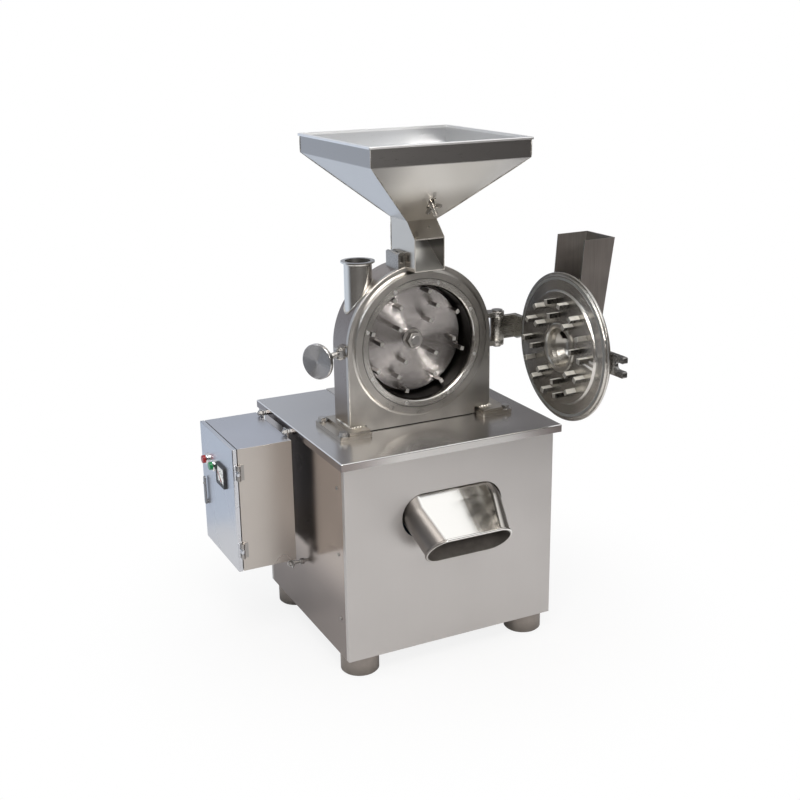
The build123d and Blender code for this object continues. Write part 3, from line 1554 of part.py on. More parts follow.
# Box door: folded tray with cut-outs, and the moving leaves of its two butt hinges
hinge_line_x = box_open - box_door_gap / 2
hinge_line_y = box_front - knuckle_radius - knuckle_stand
meter_z = box_top - meter_drop
button_z = box_top - button_drop
lock_z = box_top - lock_drop
box_door_tray = block(door_outer, door_inner, box_front, box_rear, box_bottom, box_top)
box_door_tray = fillet(box_door_tray.edges().group_by(Axis.X)[0], box_sheet * 1.6)
box_door_tray -= block(
    door_outer + box_sheet,
    door_inner + past,
    box_front + box_sheet,
    box_rear - box_sheet,
    box_bottom + box_sheet,
    box_top - box_sheet,
)
body_y_half = meter_width / 2 - meter_inset
body_z_half = meter_height / 2 - meter_inset
box_door_tray -= block(
    door_outer - past,
    door_outer + past,
    meter_y - body_y_half - bolt_gap,
    meter_y + body_y_half + bolt_gap,
    meter_z - body_z_half - bolt_gap,
    meter_z + body_z_half + bolt_gap,
)
button_neck = button_radius + free_gap + button_wall
for y in (stop_y, start_y):
    box_door_tray -= rod_x(button_neck + bolt_gap, door_outer - past, door_outer + past, y, button_z)
lock_pivot_z = lock_z - lock_length / 2 + lock_width / 2
box_door_tray -= rod_x(lock_pin_radius + run_gap, door_outer - past, door_outer + past, lock_y, lock_pivot_z)


def butt_leaf(low, moving):
    """One leaf of a butt hinge with its knuckles; the fixed leaf has the outer two and the pin."""
    third = butt_hinge_length / 3
    if moving:
        knuckles = [(low + third, low + 2 * third)]
        plate_x = (door_outer + leaf_inset, hinge_line_x - knuckle_radius - knuckle_stand)
        tongue_x = (door_outer + leaf_inset, hinge_line_x)
    else:
        knuckles = [(low, low + third - free_gap), (low + 2 * third + free_gap, low + butt_hinge_length)]
        plate_x = (hinge_line_x + knuckle_radius + knuckle_stand, box_open + leaf_reach)
        tongue_x = (hinge_line_x, box_open + leaf_reach)
    leaf = block(*plate_x, box_front - leaf_sheet, box_front, low, low + butt_hinge_length)
    for start, end in knuckles:
        leaf += block(*tongue_x, box_front - leaf_sheet, box_front - knuckle_stand, start, end)
        leaf += rod_z(knuckle_radius, start, end, hinge_line_x, hinge_line_y)
    high = low + butt_hinge_length
    if moving:
        return leaf - rod_z(box_pin_radius + run_gap, low, high, hinge_line_x, hinge_line_y)
    return leaf + rod_z(box_pin_radius, low, high, hinge_line_x, hinge_line_y)


butt_hinges = (box_bottom + butt_hinge_low, box_top - butt_hinge_high - butt_hinge_length)
save("box_door", box_door_tray, *[butt_leaf(low, True) for low in butt_hinges])
save("box_hinges", *[butt_leaf(low, False) for low in butt_hinges])

# Panel meter: frame on the door with a recessed dial, and its needle
meter_face = door_outer - meter_front
dial_x = door_outer - meter_dial
half_w = meter_width / 2
half_h = meter_height / 2
dial_low = meter_z - half_h + meter_foot
meter_case = block(
    meter_face, door_outer, meter_y - half_w, meter_y + half_w, meter_z - half_h, meter_z + half_h
)
meter_case = chamfer(meter_case.edges().filter_by(Axis.X), meter_corner)
meter_case -= block(
    meter_face - past,
    dial_x,
    meter_y - half_w + meter_wall,
    meter_y + half_w - meter_wall,
    dial_low,
    meter_z + half_h - meter_wall,
)
meter_case += block(
    dial_x,
    door_outer + meter_body,
    meter_y - body_y_half,
    meter_y + body_y_half,
    meter_z - body_z_half,
    meter_z + body_z_half,
)
save("meter_case", meter_case)
needle_z = dial_low + needle_rise
needle_x = (dial_x - free_gap - needle_stand, dial_x - free_gap)
needle_length = meter_height - meter_foot - 2 * meter_wall - needle_rise
needle = rod_x(needle_hub, *needle_x, meter_y, needle_z)
blade = outline(
    (-needle_base / 2, 0),
    (needle_base / 2, 0),
    (needle_point / 2, needle_length),
    (-needle_point / 2, needle_length),
)
blade = slab_x(blade, needle_x[0] + free_gap, needle_x[0] + free_gap + needle_sheet)
needle += Pos(0, meter_y, needle_z) * Rot(-needle_angle, 0, 0) * blade
save("meter_needle", needle)

# Buttons: collars with their switch bodies, and a stop and a start button
button_inner = door_outer + button_depth
button_floor = button_inner + button_travel + button_stop
bodies = []
for y in (stop_y, start_y):
    body = rod_x(collar_radius, door_outer - collar_height, door_outer, y, button_z)
    body = chamfer(body.edges().group_by(Axis.X)[0], collar_bevel)
    body += rod_x(button_neck, door_outer - collar_bevel, button_floor + button_wall, y, button_z)
    body += block(
        button_floor,
        door_outer + meter_body,
        y - switch_width / 2,
        y + switch_width / 2,
        button_z - switch_height / 2,
        button_z + switch_height / 2,
    )
    body -= rod_x(button_radius + free_gap, door_outer - button_length, button_floor, y, button_z)
    bodies.append(body)
save("button_bodies", *bodies)
for name, y in (("stop_button", stop_y), ("start_button", start_y)):
    button = rod_x(button_radius, door_outer - button_length, button_inner, y, button_z)
    save(name, fillet(button.edges().group_by(Axis.X)[0], button_stop))

# Lock handle: slim lever on a pin through the door, with a washer inside
lever_x = (door_outer - lock_stand - lock_lever, door_outer - lock_stand)
lever = Pos(lock_y, lock_z) * SlotOverall(lock_length, lock_width, rotation=90)
handle = slab_x(lever, *lever_x)
handle = fillet(handle.edges().group_by(Axis.X)[0], lock_lever * 0.4)
handle += rod_x(lock_boss, lever_x[0] + lock_lever / 2, door_outer - free_gap, lock_y, lock_pivot_z)
washer_x = door_outer + box_sheet + free_gap
handle += rod_x(lock_pin_radius, lever_x[1], washer_x + 2 * lock_lever, lock_y, lock_pivot_z)
handle += rod_x(lock_washer_radius, washer_x, washer_x + lock_lever, lock_y, lock_pivot_z)
save("lock_handle", handle)

# Back plate and switchgear: contactor, breaker and terminals inside the box
plate_face = box_back - box_sheet - spacer_height
back_plate = block(
    plate_face - back_plate_sheet,
    plate_face,
    box_front + plate_edge,
    box_rear - plate_edge,
    box_bottom + plate_edge,
    box_top - plate_edge,
)
spacer_edge = plate_edge + spacer_inset
for y in (box_front + spacer_edge, box_rear - spacer_edge):
    for z in (box_bottom + spacer_edge, box_top - spacer_edge):
        back_plate += rod_x(spacer_radius, plate_face - back_plate_sheet, box_back - box_sheet, y, z)
save("back_plate", back_plate)


def device(size, y0, z0):
    """A switching device on the back plate, with a raised middle."""
    depth, width, height = size
    face = plate_face - back_plate_sheet
    body = block(face - depth * 0.7, face, y0, y0 + width, z0, z0 + height)
    body += block(face - depth, face, y0, y0 + width, z0 + height * 0.25, z0 + height * 0.75)
    return body


middle_y = (box_front + box_rear) / 2
row_end = (contactor[1] + breaker[1]) / 2 + device_gap
row_low = box_top - device_row - contactor[2]
save(
    "switchgear",
    device(contactor, middle_y - row_end, row_low),
    device(breaker, middle_y + row_end - breaker[1], row_low),
    device(relay, middle_y - row_end, row_low - device_gap - relay[2]),
    device(terminals, middle_y - terminals[1] / 2, box_bottom + terminal_row),
)
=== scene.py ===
import json
import math

import bmesh
import bpy
from mathutils import Matrix, Vector


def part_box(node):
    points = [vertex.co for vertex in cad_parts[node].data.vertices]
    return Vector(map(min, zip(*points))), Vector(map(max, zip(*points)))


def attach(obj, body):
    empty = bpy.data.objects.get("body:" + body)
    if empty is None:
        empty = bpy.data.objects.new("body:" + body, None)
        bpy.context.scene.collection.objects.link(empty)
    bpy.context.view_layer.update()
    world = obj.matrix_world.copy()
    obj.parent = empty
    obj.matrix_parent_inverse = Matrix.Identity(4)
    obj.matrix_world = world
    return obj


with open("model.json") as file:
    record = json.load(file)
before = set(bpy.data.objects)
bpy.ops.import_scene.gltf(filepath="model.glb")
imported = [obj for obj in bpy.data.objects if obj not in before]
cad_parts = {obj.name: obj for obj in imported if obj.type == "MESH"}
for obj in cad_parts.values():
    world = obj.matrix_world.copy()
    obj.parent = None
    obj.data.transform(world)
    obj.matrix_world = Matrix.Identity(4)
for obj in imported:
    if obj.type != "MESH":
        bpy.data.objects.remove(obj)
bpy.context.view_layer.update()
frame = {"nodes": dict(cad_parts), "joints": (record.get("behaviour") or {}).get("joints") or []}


# Feet: four short posts turned from round bar and welded under the cabinet's corners.
# They are left as they came off the lathe, dull, with scuffs where they are dragged, and a painted
# contact shade darkens them where they meet the floor.
class Paint:
    """A shader socket that takes arithmetic; node() adds any other kind of node to its tree."""

    def __init__(self, tree, socket=None):
        self.tree = tree
        self.socket = socket

    def node(self, kind, settings, sockets, output=0):
        made = self.tree.nodes.new(kind)
        for key, value in settings.items():
            if key == "stops":
                ramp = made.color_ramp.elements
                while len(ramp) < len(value):
                    ramp.new(0.5)
                for element, (position, colour) in zip(ramp, value):
                    element.position = position
                    element.color = (*colour, 1.0)
            else:
                setattr(made, key, value)
        feed(made, sockets)
        return Paint(self.tree, made.outputs[output] if made.outputs else None)

    def math(self, operation, first, second):
        return self.node("ShaderNodeMath", {"operation": operation}, {0: first, 1: second})

    def vector(self, operation, first, second=None):
        sockets = {0: first}
        if second is not None:
            sockets["Scale" if operation == "SCALE" else 1] = second
        output = "Value" if operation in ("LENGTH", "DOT_PRODUCT") else "Vector"
        return self.node("ShaderNodeVectorMath", {"operation": operation}, sockets, output)

    def __add__(self, other):
        return self.math("ADD", self, other)

    def __sub__(self, other):
        return self.math("SUBTRACT", self, other)

    def __mul__(self, other):
        return self.math("MULTIPLY", self, other)

    def __rsub__(self, other):
        return self.math("SUBTRACT", other, self)

    __radd__ = __add__
    __rmul__ = __mul__


def feed(node, sockets):
    """Sets a node's sockets to values, or links them to paints."""
    for key, value in sockets.items():
        socket = node.inputs[key]
        if isinstance(value, Paint):
            node.id_data.links.new(value.socket, socket)
        else:
            socket.default_value = (*value, 1.0) if socket.type == "RGBA" else value


def new_finish(name):
    """A new material with its shader and the place on the piece."""
    material = bpy.data.materials.new(name)
    material.use_nodes = True
    shader = material.node_tree.nodes["Principled BSDF"]
    place = Paint(material.node_tree).node("ShaderNodeTexCoord", {}, {}, "Object")
    return material, shader, place


def noise(place, scale, detail=3.0):
    """Cloudy values about one half, as many to the metre as scale."""
    return place.node("ShaderNodeTexNoise", {}, {"Vector": place, "Scale": scale, "Detail": detail})


def mixed(share, first, second):
    """A colour between two, by a share from nought to one."""
    return share.node("ShaderNodeMix", {"data_type": "RGBA"}, {0: share, 6: first, 7: second}, 2)


def shade(tint, factor):
    """A tint made darker or lighter."""
    return [min(1.0, channel * factor) for channel in tint]


def varied(share, tint, darker, lighter):
    """A tint that goes from darker to lighter by a share."""
    return mixed(share, shade(tint, darker), shade(tint, lighter))


def ramped(value, low, high):
    """Nought below low, one above high, with a smooth rise between."""
    return value.node(
        "ShaderNodeMapRange",
        {"interpolation_type": "SMOOTHSTEP"},
        {"Value": value, "From Min": low, "From Max": high, "To Min": 0.0, "To Max": 1.0},
    )


def height_of(place):
    """How high a place is above the floor."""
    return place.node("ShaderNodeSeparateXYZ", {}, {0: place}, "Z")


def bumped(height, strength, distance):
    """A normal roughened by a height."""
    sockets = {"Strength": strength, "Distance": distance, "Height": height}
    return height.node("ShaderNodeBump", {}, sockets, "Normal")


nodes = frame["nodes"]


def dress(material, *names):
    """Gives CAD nodes a finish."""
    for name in names:
        for slot in nodes[name].material_slots:
            slot.material = material


foot_tint = (0.31, 0.28, 0.255)
contact_shade_height = 0.035
foot_steel, shader, place = new_finish("foot_steel")
scuff = noise(place, 60.0, 6.0)
# Painted contact shade: the posts turn darker over their lowest few centimetres.
contact_shade = 1 - ramped(height_of(place), 0.0, contact_shade_height)
worn = varied(scuff, foot_tint, 0.72, 1.25)
feed(shader, {
    "Base Color": mixed(contact_shade * scuff, worn, shade(foot_tint, 0.45)),
    "Roughness": scuff * 0.30 + 0.30,
    "Normal": bumped(scuff, 0.25, 0.0010),
    "Metallic": 1.0,
})
dress(foot_steel, "feet")


# Cabinet frame: square tube welded into a box, with beams across it for the motor.
# The tube keeps its grey mill skin, with faint lines along the posts.
def brushed(place, grain, scale, detail):
    """Noise drawn out into lines; grain squeezes it along X, Y and Z."""
    return noise(place.vector("MULTIPLY", place, grain), scale, detail)


def sheet_steel(name, tint, roughness, grain, wave, *others):
    """Stainless sheet: its brush lines follow the grain, and wave is how much it bows.

    Other tints come with a function of the place that says how far each takes over."""
    material, shader, place = new_finish(name)
    brush = brushed(place, grain, 300.0, 1.0)
    streak = brushed(place, grain, 90.0, 1.0)
    cloud = noise(place, 3.5, 3.0)
    bow = noise(place, 6.0, 1.0)
    hand = ramped(bow, 0.30, 0.90)
    tone = (brush - 0.5) * 0.04 + (streak - 0.5) * 0.04 + (cloud - 0.5) * 0.45
    clean = varied(tone + 0.5, tint, 0.86, 1.14)
    for other_tint, where in others:
        other = varied(tone + 0.5, other_tint, 0.86, 1.14)
        clean = mixed(where(place), clean, other)
    feed(shader, {
        "Base Color": mixed(hand * 0.16, clean, shade(tint, 0.80)),
        "Roughness": (cloud - 0.5) * 0.12 + hand * 0.05 + roughness,
        "Normal": bumped(bow, wave, 0.004),
        "Metallic": 1.0,
    })
    return material


upright = (1.0, 1.0, 0.03)
tube_tint = (0.40, 0.39, 0.38)
dress(sheet_steel("tube_steel", tube_tint, 0.44, upright, 0.05), "cabinet_frame")


# Motor: finned frame and pressed fan cover under machine enamel, bolted to beams in the cabinet.
# Its shaft stays bare steel and its small pulley bare iron, pitted and rubbed bright in places.
def mottled(name, scale, detail, dark, light, swing, roughness, grit=None, coat=0.0, metal=0.0):
    """A finish that wanders between two tints, and is duller by the swing where it is light.

    Grit is the scale, detail, strength and depth of a fine bump."""
    material, shader, place = new_finish(name)
    patch = noise(place, scale, detail)
    feed(shader, {
        "Base Color": mixed(patch, dark, light),
        "Roughness": patch * swing + roughness if swing else roughness,
        "Coat Weight": coat,
        "Metallic": metal,
    })
    if grit:
        grit_scale, grit_detail, strength, depth = grit
        grain = noise(place, grit_scale, grit_detail)
        feed(shader, {"Normal": bumped(grain, strength, depth)})
    return material


def enamel(name, tint, roughness):
    """Sprayed paint with uneven dust and a faint orange peel."""
    peel = (350.0, 2.0, 0.12, 0.0006)
    clean, dusty = shade(tint, 0.75), shade(tint, 1.30)
    return mottled(name, 25.0, 5.0, clean, dusty, 0.25, roughness, peel, coat=0.15)


dress(enamel("motor_enamel", (0.06, 0.11, 0.17), 0.34), "motor_frame", "motor_fan_cover")
iron_tint = (0.20, 0.20, 0.21)
pulley_iron, shader, place = new_finish("pulley_iron")
pits = noise(place, 420.0, 6.0)
wear = ramped(noise(place, 30.0, 4.0), 0.50, 0.70)
feed(shader, {
    "Base Color": varied(wear, iron_tint, 0.80, 1.45),
    "Roughness": pits * 0.30 + 0.38,
    "Normal": bumped(pits, 0.35, 0.0008),
    "Metallic": 0.85,
})
dress(pulley_iron, "motor_pulley")
bar_tint = (0.46, 0.45, 0.44)
along_shaft = (1.0, 0.05, 1.0)
bar_steel = sheet_steel("bar_steel", bar_tint, 0.30, along_shaft, 0.02)
dress(bar_steel, "motor_shaft")

# Cabinet panels: folded stainless sheet on the frame, the rear one with pressed louvres.
# The sides are smoother, and their sheet is tinted darker and browner than the front's as a painted
# shade, with a painted dark reflection of the floor near it; low socket screws hold the sides and
# the rear along their upright edges.
panel_tint = (0.562, 0.541, 0.526)
dress(sheet_steel("panel_sheet", panel_tint, 0.33, upright, 0.030), "front_panel", "rear_panel")
# Painted shade: the sides are a darker copy of the front's sheet; near the floor a painted dark
# reflection takes over.
shaded_side_tint = (0.47, 0.41, 0.37)
floor_reflection_tint = (0.225, 0.193, 0.18)
floor_reflection_low, floor_reflection_high = 0.17, 0.31


def near_floor(place):
    """One by the floor, nought from knee height up."""
    return 1 - ramped(height_of(place), floor_reflection_low, floor_reflection_high)


side_sheet = sheet_steel("side_sheet", shaded_side_tint, 0.16, upright, 0.020, (floor_reflection_tint, near_floor))
dress(side_sheet, "side_panels")


def put(name, data):
    """A new object in the scene."""
    made = bpy.data.objects.new(name, data)
    bpy.context.scene.collection.objects.link(made)
    return made


def piece(name, form, material, body):
    """Makes a mesh piece of a form, with its finish, and lets it ride on a body."""
    mesh = bpy.data.meshes.new(name)
    bmesh.ops.recalc_face_normals(form, faces=form.faces)
    form.to_mesh(mesh)
    form.free()
    mesh.materials.append(material)
    made = put(name, mesh)
    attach(made, body)


def skin(form, rings, closed):
    """Joins rings of as many points each into a skin, its ends capped or joined up."""
    loops = [[form.verts.new(point) for point in ring] for ring in rings]
    onward = loops[1:] + loops[:1] if closed else loops[1:]
    for first, second in zip(loops, onward):
        for step in range(len(first)):
            after = (step + 1) % len(first)
            form.faces.new((first[step], first[after], second[after], second[step]))
    if not closed:
        form.faces.new(loops[0])
        form.faces.new(loops[-1])


def standing(spot, outward):
    """The place and turn of something that stands on a spot and points outward."""
    turn = Vector(outward).to_track_quat("Z", "Y").to_matrix().to_4x4()
    return Matrix.Translation(spot) @ turn


def screw_head(form, spot, outward, radius, height):
    """A low turned head with a six-sided socket, standing on a spot."""
    stand = standing(spot, outward)
    corners = 24
    rings = []
    for share, rise, sided in (
        (1.0, -0.6, False),
        (1.0, 0.45, False),
        (0.94, 0.80, False),
        (0.80, 1.0, False),
        (0.48, 1.0, True),
        (0.44, 0.25, True),
    ):
        ring = []
        for step in range(corners):
            angle = math.tau * step / corners
            off_flat = math.cos(angle % (math.pi / 3) - math.pi / 6)
            reach = radius * share * (math.cos(math.pi / 6) / off_flat if sided else 1.0)
            across, up = reach * math.cos(angle), reach * math.sin(angle)
            ring.append(stand @ Vector((across, up, height * rise)))
        rings.append(ring)
    skin(form, rings, False)


dark_plating, bright_plating = (0.22, 0.21, 0.20), (0.52, 0.51, 0.49)
screw_steel = mottled(
    "screw_steel", 500.0, 4.0, dark_plating, bright_plating, 0.30, 0.24, metal=1.0
)
side_low, side_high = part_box("side_panels")
panel_screw_radius = 0.0045
panel_screw_height = 0.0022
panel_screw_inset = 0.028
panel_screw_levels = (0.15, 0.32, 0.49)
side_screws = bmesh.new()
for side in (side_low.x, side_high.x):
    for edge in (side_low.y + panel_screw_inset, side_high.y - panel_screw_inset):
        for height in panel_screw_levels:
            spot = (side, edge, height)
            outward = (math.copysign(1.0, side), 0.0, 0.0)
            screw_head(side_screws, spot, outward, panel_screw_radius, panel_screw_height)
piece("side_screws", side_screws, screw_steel, "base")
backward = (0.0, 1.0, 0.0)
rear_low, rear_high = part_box("rear_panel")


def rear_rows(edges, levels, radius, height):
    """Screws in upright rows on the cabinet's back."""
    form = bmesh.new()
    for edge in edges:
        for level in levels:
            screw_head(form, (edge, rear_high.y, level), backward, radius, height)
    return form


rear_edges = (rear_low.x + panel_screw_inset, rear_high.x - panel_screw_inset)
rear_screws = rear_rows(rear_edges, panel_screw_levels, panel_screw_radius, panel_screw_height)
piece("rear_screws", rear_screws, screw_steel, "base")

# Top plate: thick sheet with a folded lip, brushed across, and welded and ground at its corners.
# It is smoother than the panels and mirrors the mill; the fold carries a painted highlight, and the
# welds' heat has browned the lip towards its corners.
crosswise = (0.03, 1.0, 1.0)
plate_tint = (0.64, 0.625, 0.61)
# Painted highlight: the rounded fold is painted near white.
fold_highlight_tint = (1.0, 0.985, 0.965)
burnt_tint = (0.27, 0.235, 0.225)
burn_start, burn_whole = 0.13, 0.30
straight_up = (0.0, 0.0, 1.0)
sideways = (1.0, 0.0, 0.0)


def facing(place, way):
    """How far a surface faces a way, from minus one to one."""
    normal = place.node("ShaderNodeTexCoord", {}, {}, "Normal")
    return place.vector("DOT_PRODUCT", normal, way)


def on_fold(place):
    """One on the rounded fold between the plate and its lip."""
    rise = facing(place, straight_up)
    return ramped(rise, 0.10, 0.35) * (1 - ramped(rise, 0.88, 0.98))


def off_middle(place):
    """How far a place is to the left or right of the machine's middle."""
    return place.vector("LENGTH", place.vector("MULTIPLY", place, sideways))


def by_corner(place):
    """One on the lip at the plate's left and right corners."""
    upper_side = ramped(facing(place, straight_up), 0.05, 0.20)
    return ramped(off_middle(place), burn_start, burn_whole) * (1 - upper_side)


plate_others = (fold_highlight_tint, on_fold), (burnt_tint, by_corner)
dress(sheet_steel("plate_sheet", plate_tint, 0.21, crosswise, 0.020, *plate_others), "top_plate")


# Discharge: a chute of plain sheet inside the cabinet, and a spout formed by hand over a block.
# The spout is buffed bright, with a painted dark reflection down its right side and a painted shade
# on its left flank, and keeps soft hammer waves; its mouth is rolled outward, and its inside is
# painted dark as painted shade.
def from_axis(place, middle, axis):
    """The arm from a middle to a place, its length along an axis, and what is square to that."""
    arm = place.vector("SUBTRACT", place, middle)
    along = place.vector("DOT_PRODUCT", arm, axis)
    return arm, along, place.vector("SUBTRACT", arm, place.vector("SCALE", axis, along))


def inner_side(place, middle, axis):
    """One on walls that face a straight axis, nought on those that face away from it."""
    spoke = from_axis(place, middle, axis)[2]
    return 1 - ramped(facing(place, spoke), -0.004, 0.004)


dress(sheet_steel("chute_sheet", (0.55, 0.54, 0.52), 0.34, upright, 0.02), "discharge_chute")
spout_polish, shader, place = new_finish("spout_polish")
spout_low, spout_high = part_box("discharge_spout")
spout_middle = (spout_low + spout_high) / 2
spout_slope = math.radians(37.0)
spout_axis = (0.0, -math.cos(spout_slope), -math.sin(spout_slope))
wipe = noise(place, 240.0, 5.0)
inside = inner_side(place, spout_middle, spout_axis)
# Painted shade on the left flank.
shaded_flank = ramped(0 - facing(place, sideways), 0.08, 0.22) * (1 - inside)
buff_lines = (1.0, 0.12, 0.12)
reflection_edge = spout_middle.x + 0.010
reflection_fade = 0.014
crown = ramped(facing(place, straight_up), 0.55, 0.75)
across = place.node("ShaderNodeSeparateXYZ", {}, {0: place}, "X")
ragged = (brushed(place, buff_lines, 110.0, 2.0) - 0.5) * 0.045
# Painted reflection: the top turns grey past an edge towards the right.
dark_reflection = ramped(across + ragged, reflection_edge, reflection_edge + reflection_fade) * crown * (1 - inside)
bright = mixed(wipe, (0.97, 0.955, 0.92), (1.0, 0.99, 0.96))
reflected_top = mixed(dark_reflection, bright, (0.62, 0.59, 0.55))
dulled = mixed(shaded_flank, reflected_top, (0.25, 0.23, 0.215))
patchy = noise(place, 60.0, 5.0)
# Painted shade: the inside is painted dark and only partly metallic.
shaded_inside = mixed(patchy, (0.11, 0.10, 0.09), (0.22, 0.20, 0.18))
hammered = brushed(place, buff_lines, 22.0, 1.0)
feed(shader, {
    "Base Color": mixed(inside, dulled, shaded_inside),
    "Metallic": 1 - inside * 0.75,
    "Roughness": (wipe - 0.5) * 0.05 + shaded_flank * 0.30 + inside * 0.45 + 0.10,
    "Normal": bumped(hammered, 0.020, 0.006),
})
dress(spout_polish, "discharge_spout")

# Mill head: a heavy arch of plate welded to stepped feet, which are bolted to the top plate.
# It is ground with a coarse belt, and the welds' heat has left it straw-brown above the feet; the
# ring on its face plate is turned, and a painted shade darkens it on the hinge's side.
foot_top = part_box("mill_feet")[1].z
heat_low, heat_high = foot_top - 0.01, foot_top + 0.09


def ground_plate(name, tint, roughness, heat):
    """Belt-ground plate, with a straw tint that fades upward from the welds at the feet."""
    material, shader, place = new_finish(name)
    belt = brushed(place, crosswise, 420.0, 5.0)
    cloud = noise(place, 9.0, 5.0)
    burn = (1 - ramped(height_of(place), heat_low, heat_high)) * cloud * heat
    tone = (belt - 0.5) * 0.6 + (cloud - 0.5) * 0.7 + 0.5
    clean = varied(tone, tint, 0.74, 1.26)
    feed(shader, {
        "Base Color": mixed(burn, clean, (0.50, 0.40, 0.25)),
        "Roughness": (belt - 0.5) * 0.24 + (cloud - 0.5) * 0.20 + roughness,
        "Normal": bumped(belt * 0.4 + cloud, 0.14, 0.0016),
        "Metallic": 1.0,
    })
    return material


def ease(width, *names):
    """Breaks the sharp edges of blocky CAD nodes."""
    for name in names:
        join = nodes[name].modifiers.new("joined", "WELD")
        join.merge_threshold = 0.00001
        edge = nodes[name].modifiers.new("eased", "BEVEL")
        edge.width = width
        edge.segments = 2
        edge.limit_method = "ANGLE"
        edge.angle_limit = math.radians(50.0)
        edge.harden_normals = True


shell_tint = (0.298, 0.262, 0.243)
dress(ground_plate("shell_plate", shell_tint, 0.31, 0.4), "mill_shell", "shell_rear_wall")
dress(ground_plate("foot_plate", (0.45, 0.425, 0.39), 0.32, 0.2), "mill_feet")
dress(bar_steel, "anchor_bolts")
ease(0.0008, "mill_feet")


def hoop(middle, aside, over, reach, corners):
    """Points of a circle about a middle."""
    turns = [math.tau * corner / corners for corner in range(corners)]
    return [middle + (aside * math.cos(t) + over * math.sin(t)) * reach for t in turns]


def weld_bead(form, start, end, width, rough=0.16):
    """A straight run of weld: overlapping ripples along a seam."""
    start = Vector(start)
    run = Vector(end) - start
    aside = run.orthogonal().normalized()
    over = run.normalized().cross(aside)
    count = max(4, round(run.length / (width * 0.22)))
    rings = []
    for step in range(count + 1):
        share = step / count
        swell = math.sin(step * math.tau / 4) + 0.5 * math.sin(step * 1.7)
        ripple = 1.0 - rough + rough * swell
        taper = min(1.0, 4.0 * min(share, 1.0 - share) + 0.35)
        reach = width * 0.5 * ripple * taper
        rings.append(hoop(start + run * share, aside, over, reach, 10))
    skin(form, rings, False)


weld_steel, shader, place = new_finish("weld_steel")
crust = noise(place, 260.0, 6.0)
heat_colours = [
    (0.30, (0.26, 0.24, 0.22)),
    (0.48, (0.58, 0.55, 0.49)),
    (0.60, (0.72, 0.70, 0.66)),
    (0.74, (0.50, 0.42, 0.30)),
]
heated = noise(place, 40.0, 4.0)
feed(shader, {
    "Base Color": place.node("ShaderNodeValToRGB", {"stops": heat_colours}, {0: heated}),
    "Roughness": crust * 0.30 + 0.20,
    "Normal": bumped(crust, 0.30, 0.0010),
    "Metallic": 1.0,
})
face_low, face_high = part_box("face_plate")
shell_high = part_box("mill_shell")[1]
foot_weld = 0.009
foot_weld_reach = 0.036
foot_welds = bmesh.new()
for side in (-1, 1):
    corner = side * face_high.x
    inner = corner - side * foot_weld_reach
    bend = (corner, face_low.y, foot_top)
    weld_bead(foot_welds, (inner, face_low.y, foot_top), bend, foot_weld)
    weld_bead(foot_welds, bend, (corner, shell_high.y, foot_top), foot_weld)
piece("foot_welds", foot_welds, weld_steel, "base")


no_edge = 10.0


def turned_steel(
    name, tint, roughness, centre, axis, spread, groove=0.3, edge=no_edge, painted_shade=None, seam=None
):
    """Steel faced on a lathe about an axis: its grooves lean the surface to and fro by spread.

    The groove says how far wider tool marks show. Past the edge's radius it is ground plate.
    A painted shade darkens it towards one side, given by a way, where it starts and is whole along
    that, and its share.
    Past the seam's radius, old meal has packed into the joint round it."""
    material, shader, place = new_finish(name)
    arm, along, spoke = from_axis(place, centre, axis)
    reach = place.vector("LENGTH", spoke)
    outward = place.vector("NORMALIZE", spoke)
    one_way = {"noise_dimensions": "1D"}
    fine = place.node("ShaderNodeTexNoise", one_way, {"W": reach * 3600.0, "Detail": 2.0})
    round_it = place.node("ShaderNodeTexNoise", one_way, {"W": along * 3600.0, "Detail": 2.0})
    band = place.node("ShaderNodeTexNoise", one_way, {"W": reach * 420.0, "Detail": 3.0})
    plain = ramped(reach, edge, edge + 0.001)
    swing = ramped(reach, 0.0, 0.005) * (1 - plain) * spread
    lean_out = place.vector("SCALE", outward, (fine - 0.5) * swing)
    lean_on = place.vector("SCALE", axis, (round_it - 0.5) * swing)
    lean = place.vector("ADD", lean_out, lean_on)
    turned_lean = place.node(
        "ShaderNodeVectorTransform",
        {"vector_type": "VECTOR", "convert_from": "OBJECT", "convert_to": "WORLD"},
        {0: lean},
    )
    level = place.node("ShaderNodeNewGeometry", {}, {}, "Normal")
    leaned = place.vector("ADD", level, turned_lean)
    film = noise(place, 22.0, 5.0)
    tone = (band - 0.5) * groove + (film - 0.5) * 0.40 + 0.5
    grooved = varied(tone, tint, 0.84 - 0.2 * groove, 1.16)
    ground = varied(film, tint, 0.74, 1.14)
    colour = mixed(plain, grooved, ground)
    # Painted shade towards one side.
    if painted_shade:
        way, start, whole, share = painted_shade
        to_side = place.vector("DOT_PRODUCT", arm, way)
        colour = mixed(ramped(to_side, start, whole) * share, colour, shade(tint, 0.30))
    if seam:
        colour = mixed(ramped(reach, seam, seam + 0.0005), colour, shade(tint, 0.12))
    sheen = (band - 0.5) * 0.08 + (film - 0.5) * 0.12 + plain * 0.06
    feed(shader, {
        "Base Color": colour,
        "Roughness": sheen + roughness,
        "Normal": place.vector("NORMALIZE", leaned),
        "Metallic": 1.0,
    })
    return material


joints = {joint["name"]: joint for joint in frame["joints"]}
rotor_axis = Vector(joints["rotor_spin"]["pos_m"])
mill_middle = (0.0, 0.0, rotor_axis.z)
head_tint = (0.60, 0.575, 0.54)
face_radius = 0.1865
hinge_side = Vector(sideways)
# Painted shade on the face plate towards the hinge's side.
face_shade = (hinge_side, 0.09, 0.18, 0.6)
face_steel = turned_steel(
    "face_steel", head_tint, 0.30, mill_middle, backward, 1.0, 1.0, face_radius, face_shade
)
dress(face_steel, "face_plate")
ease(0.0010, "face_plate")

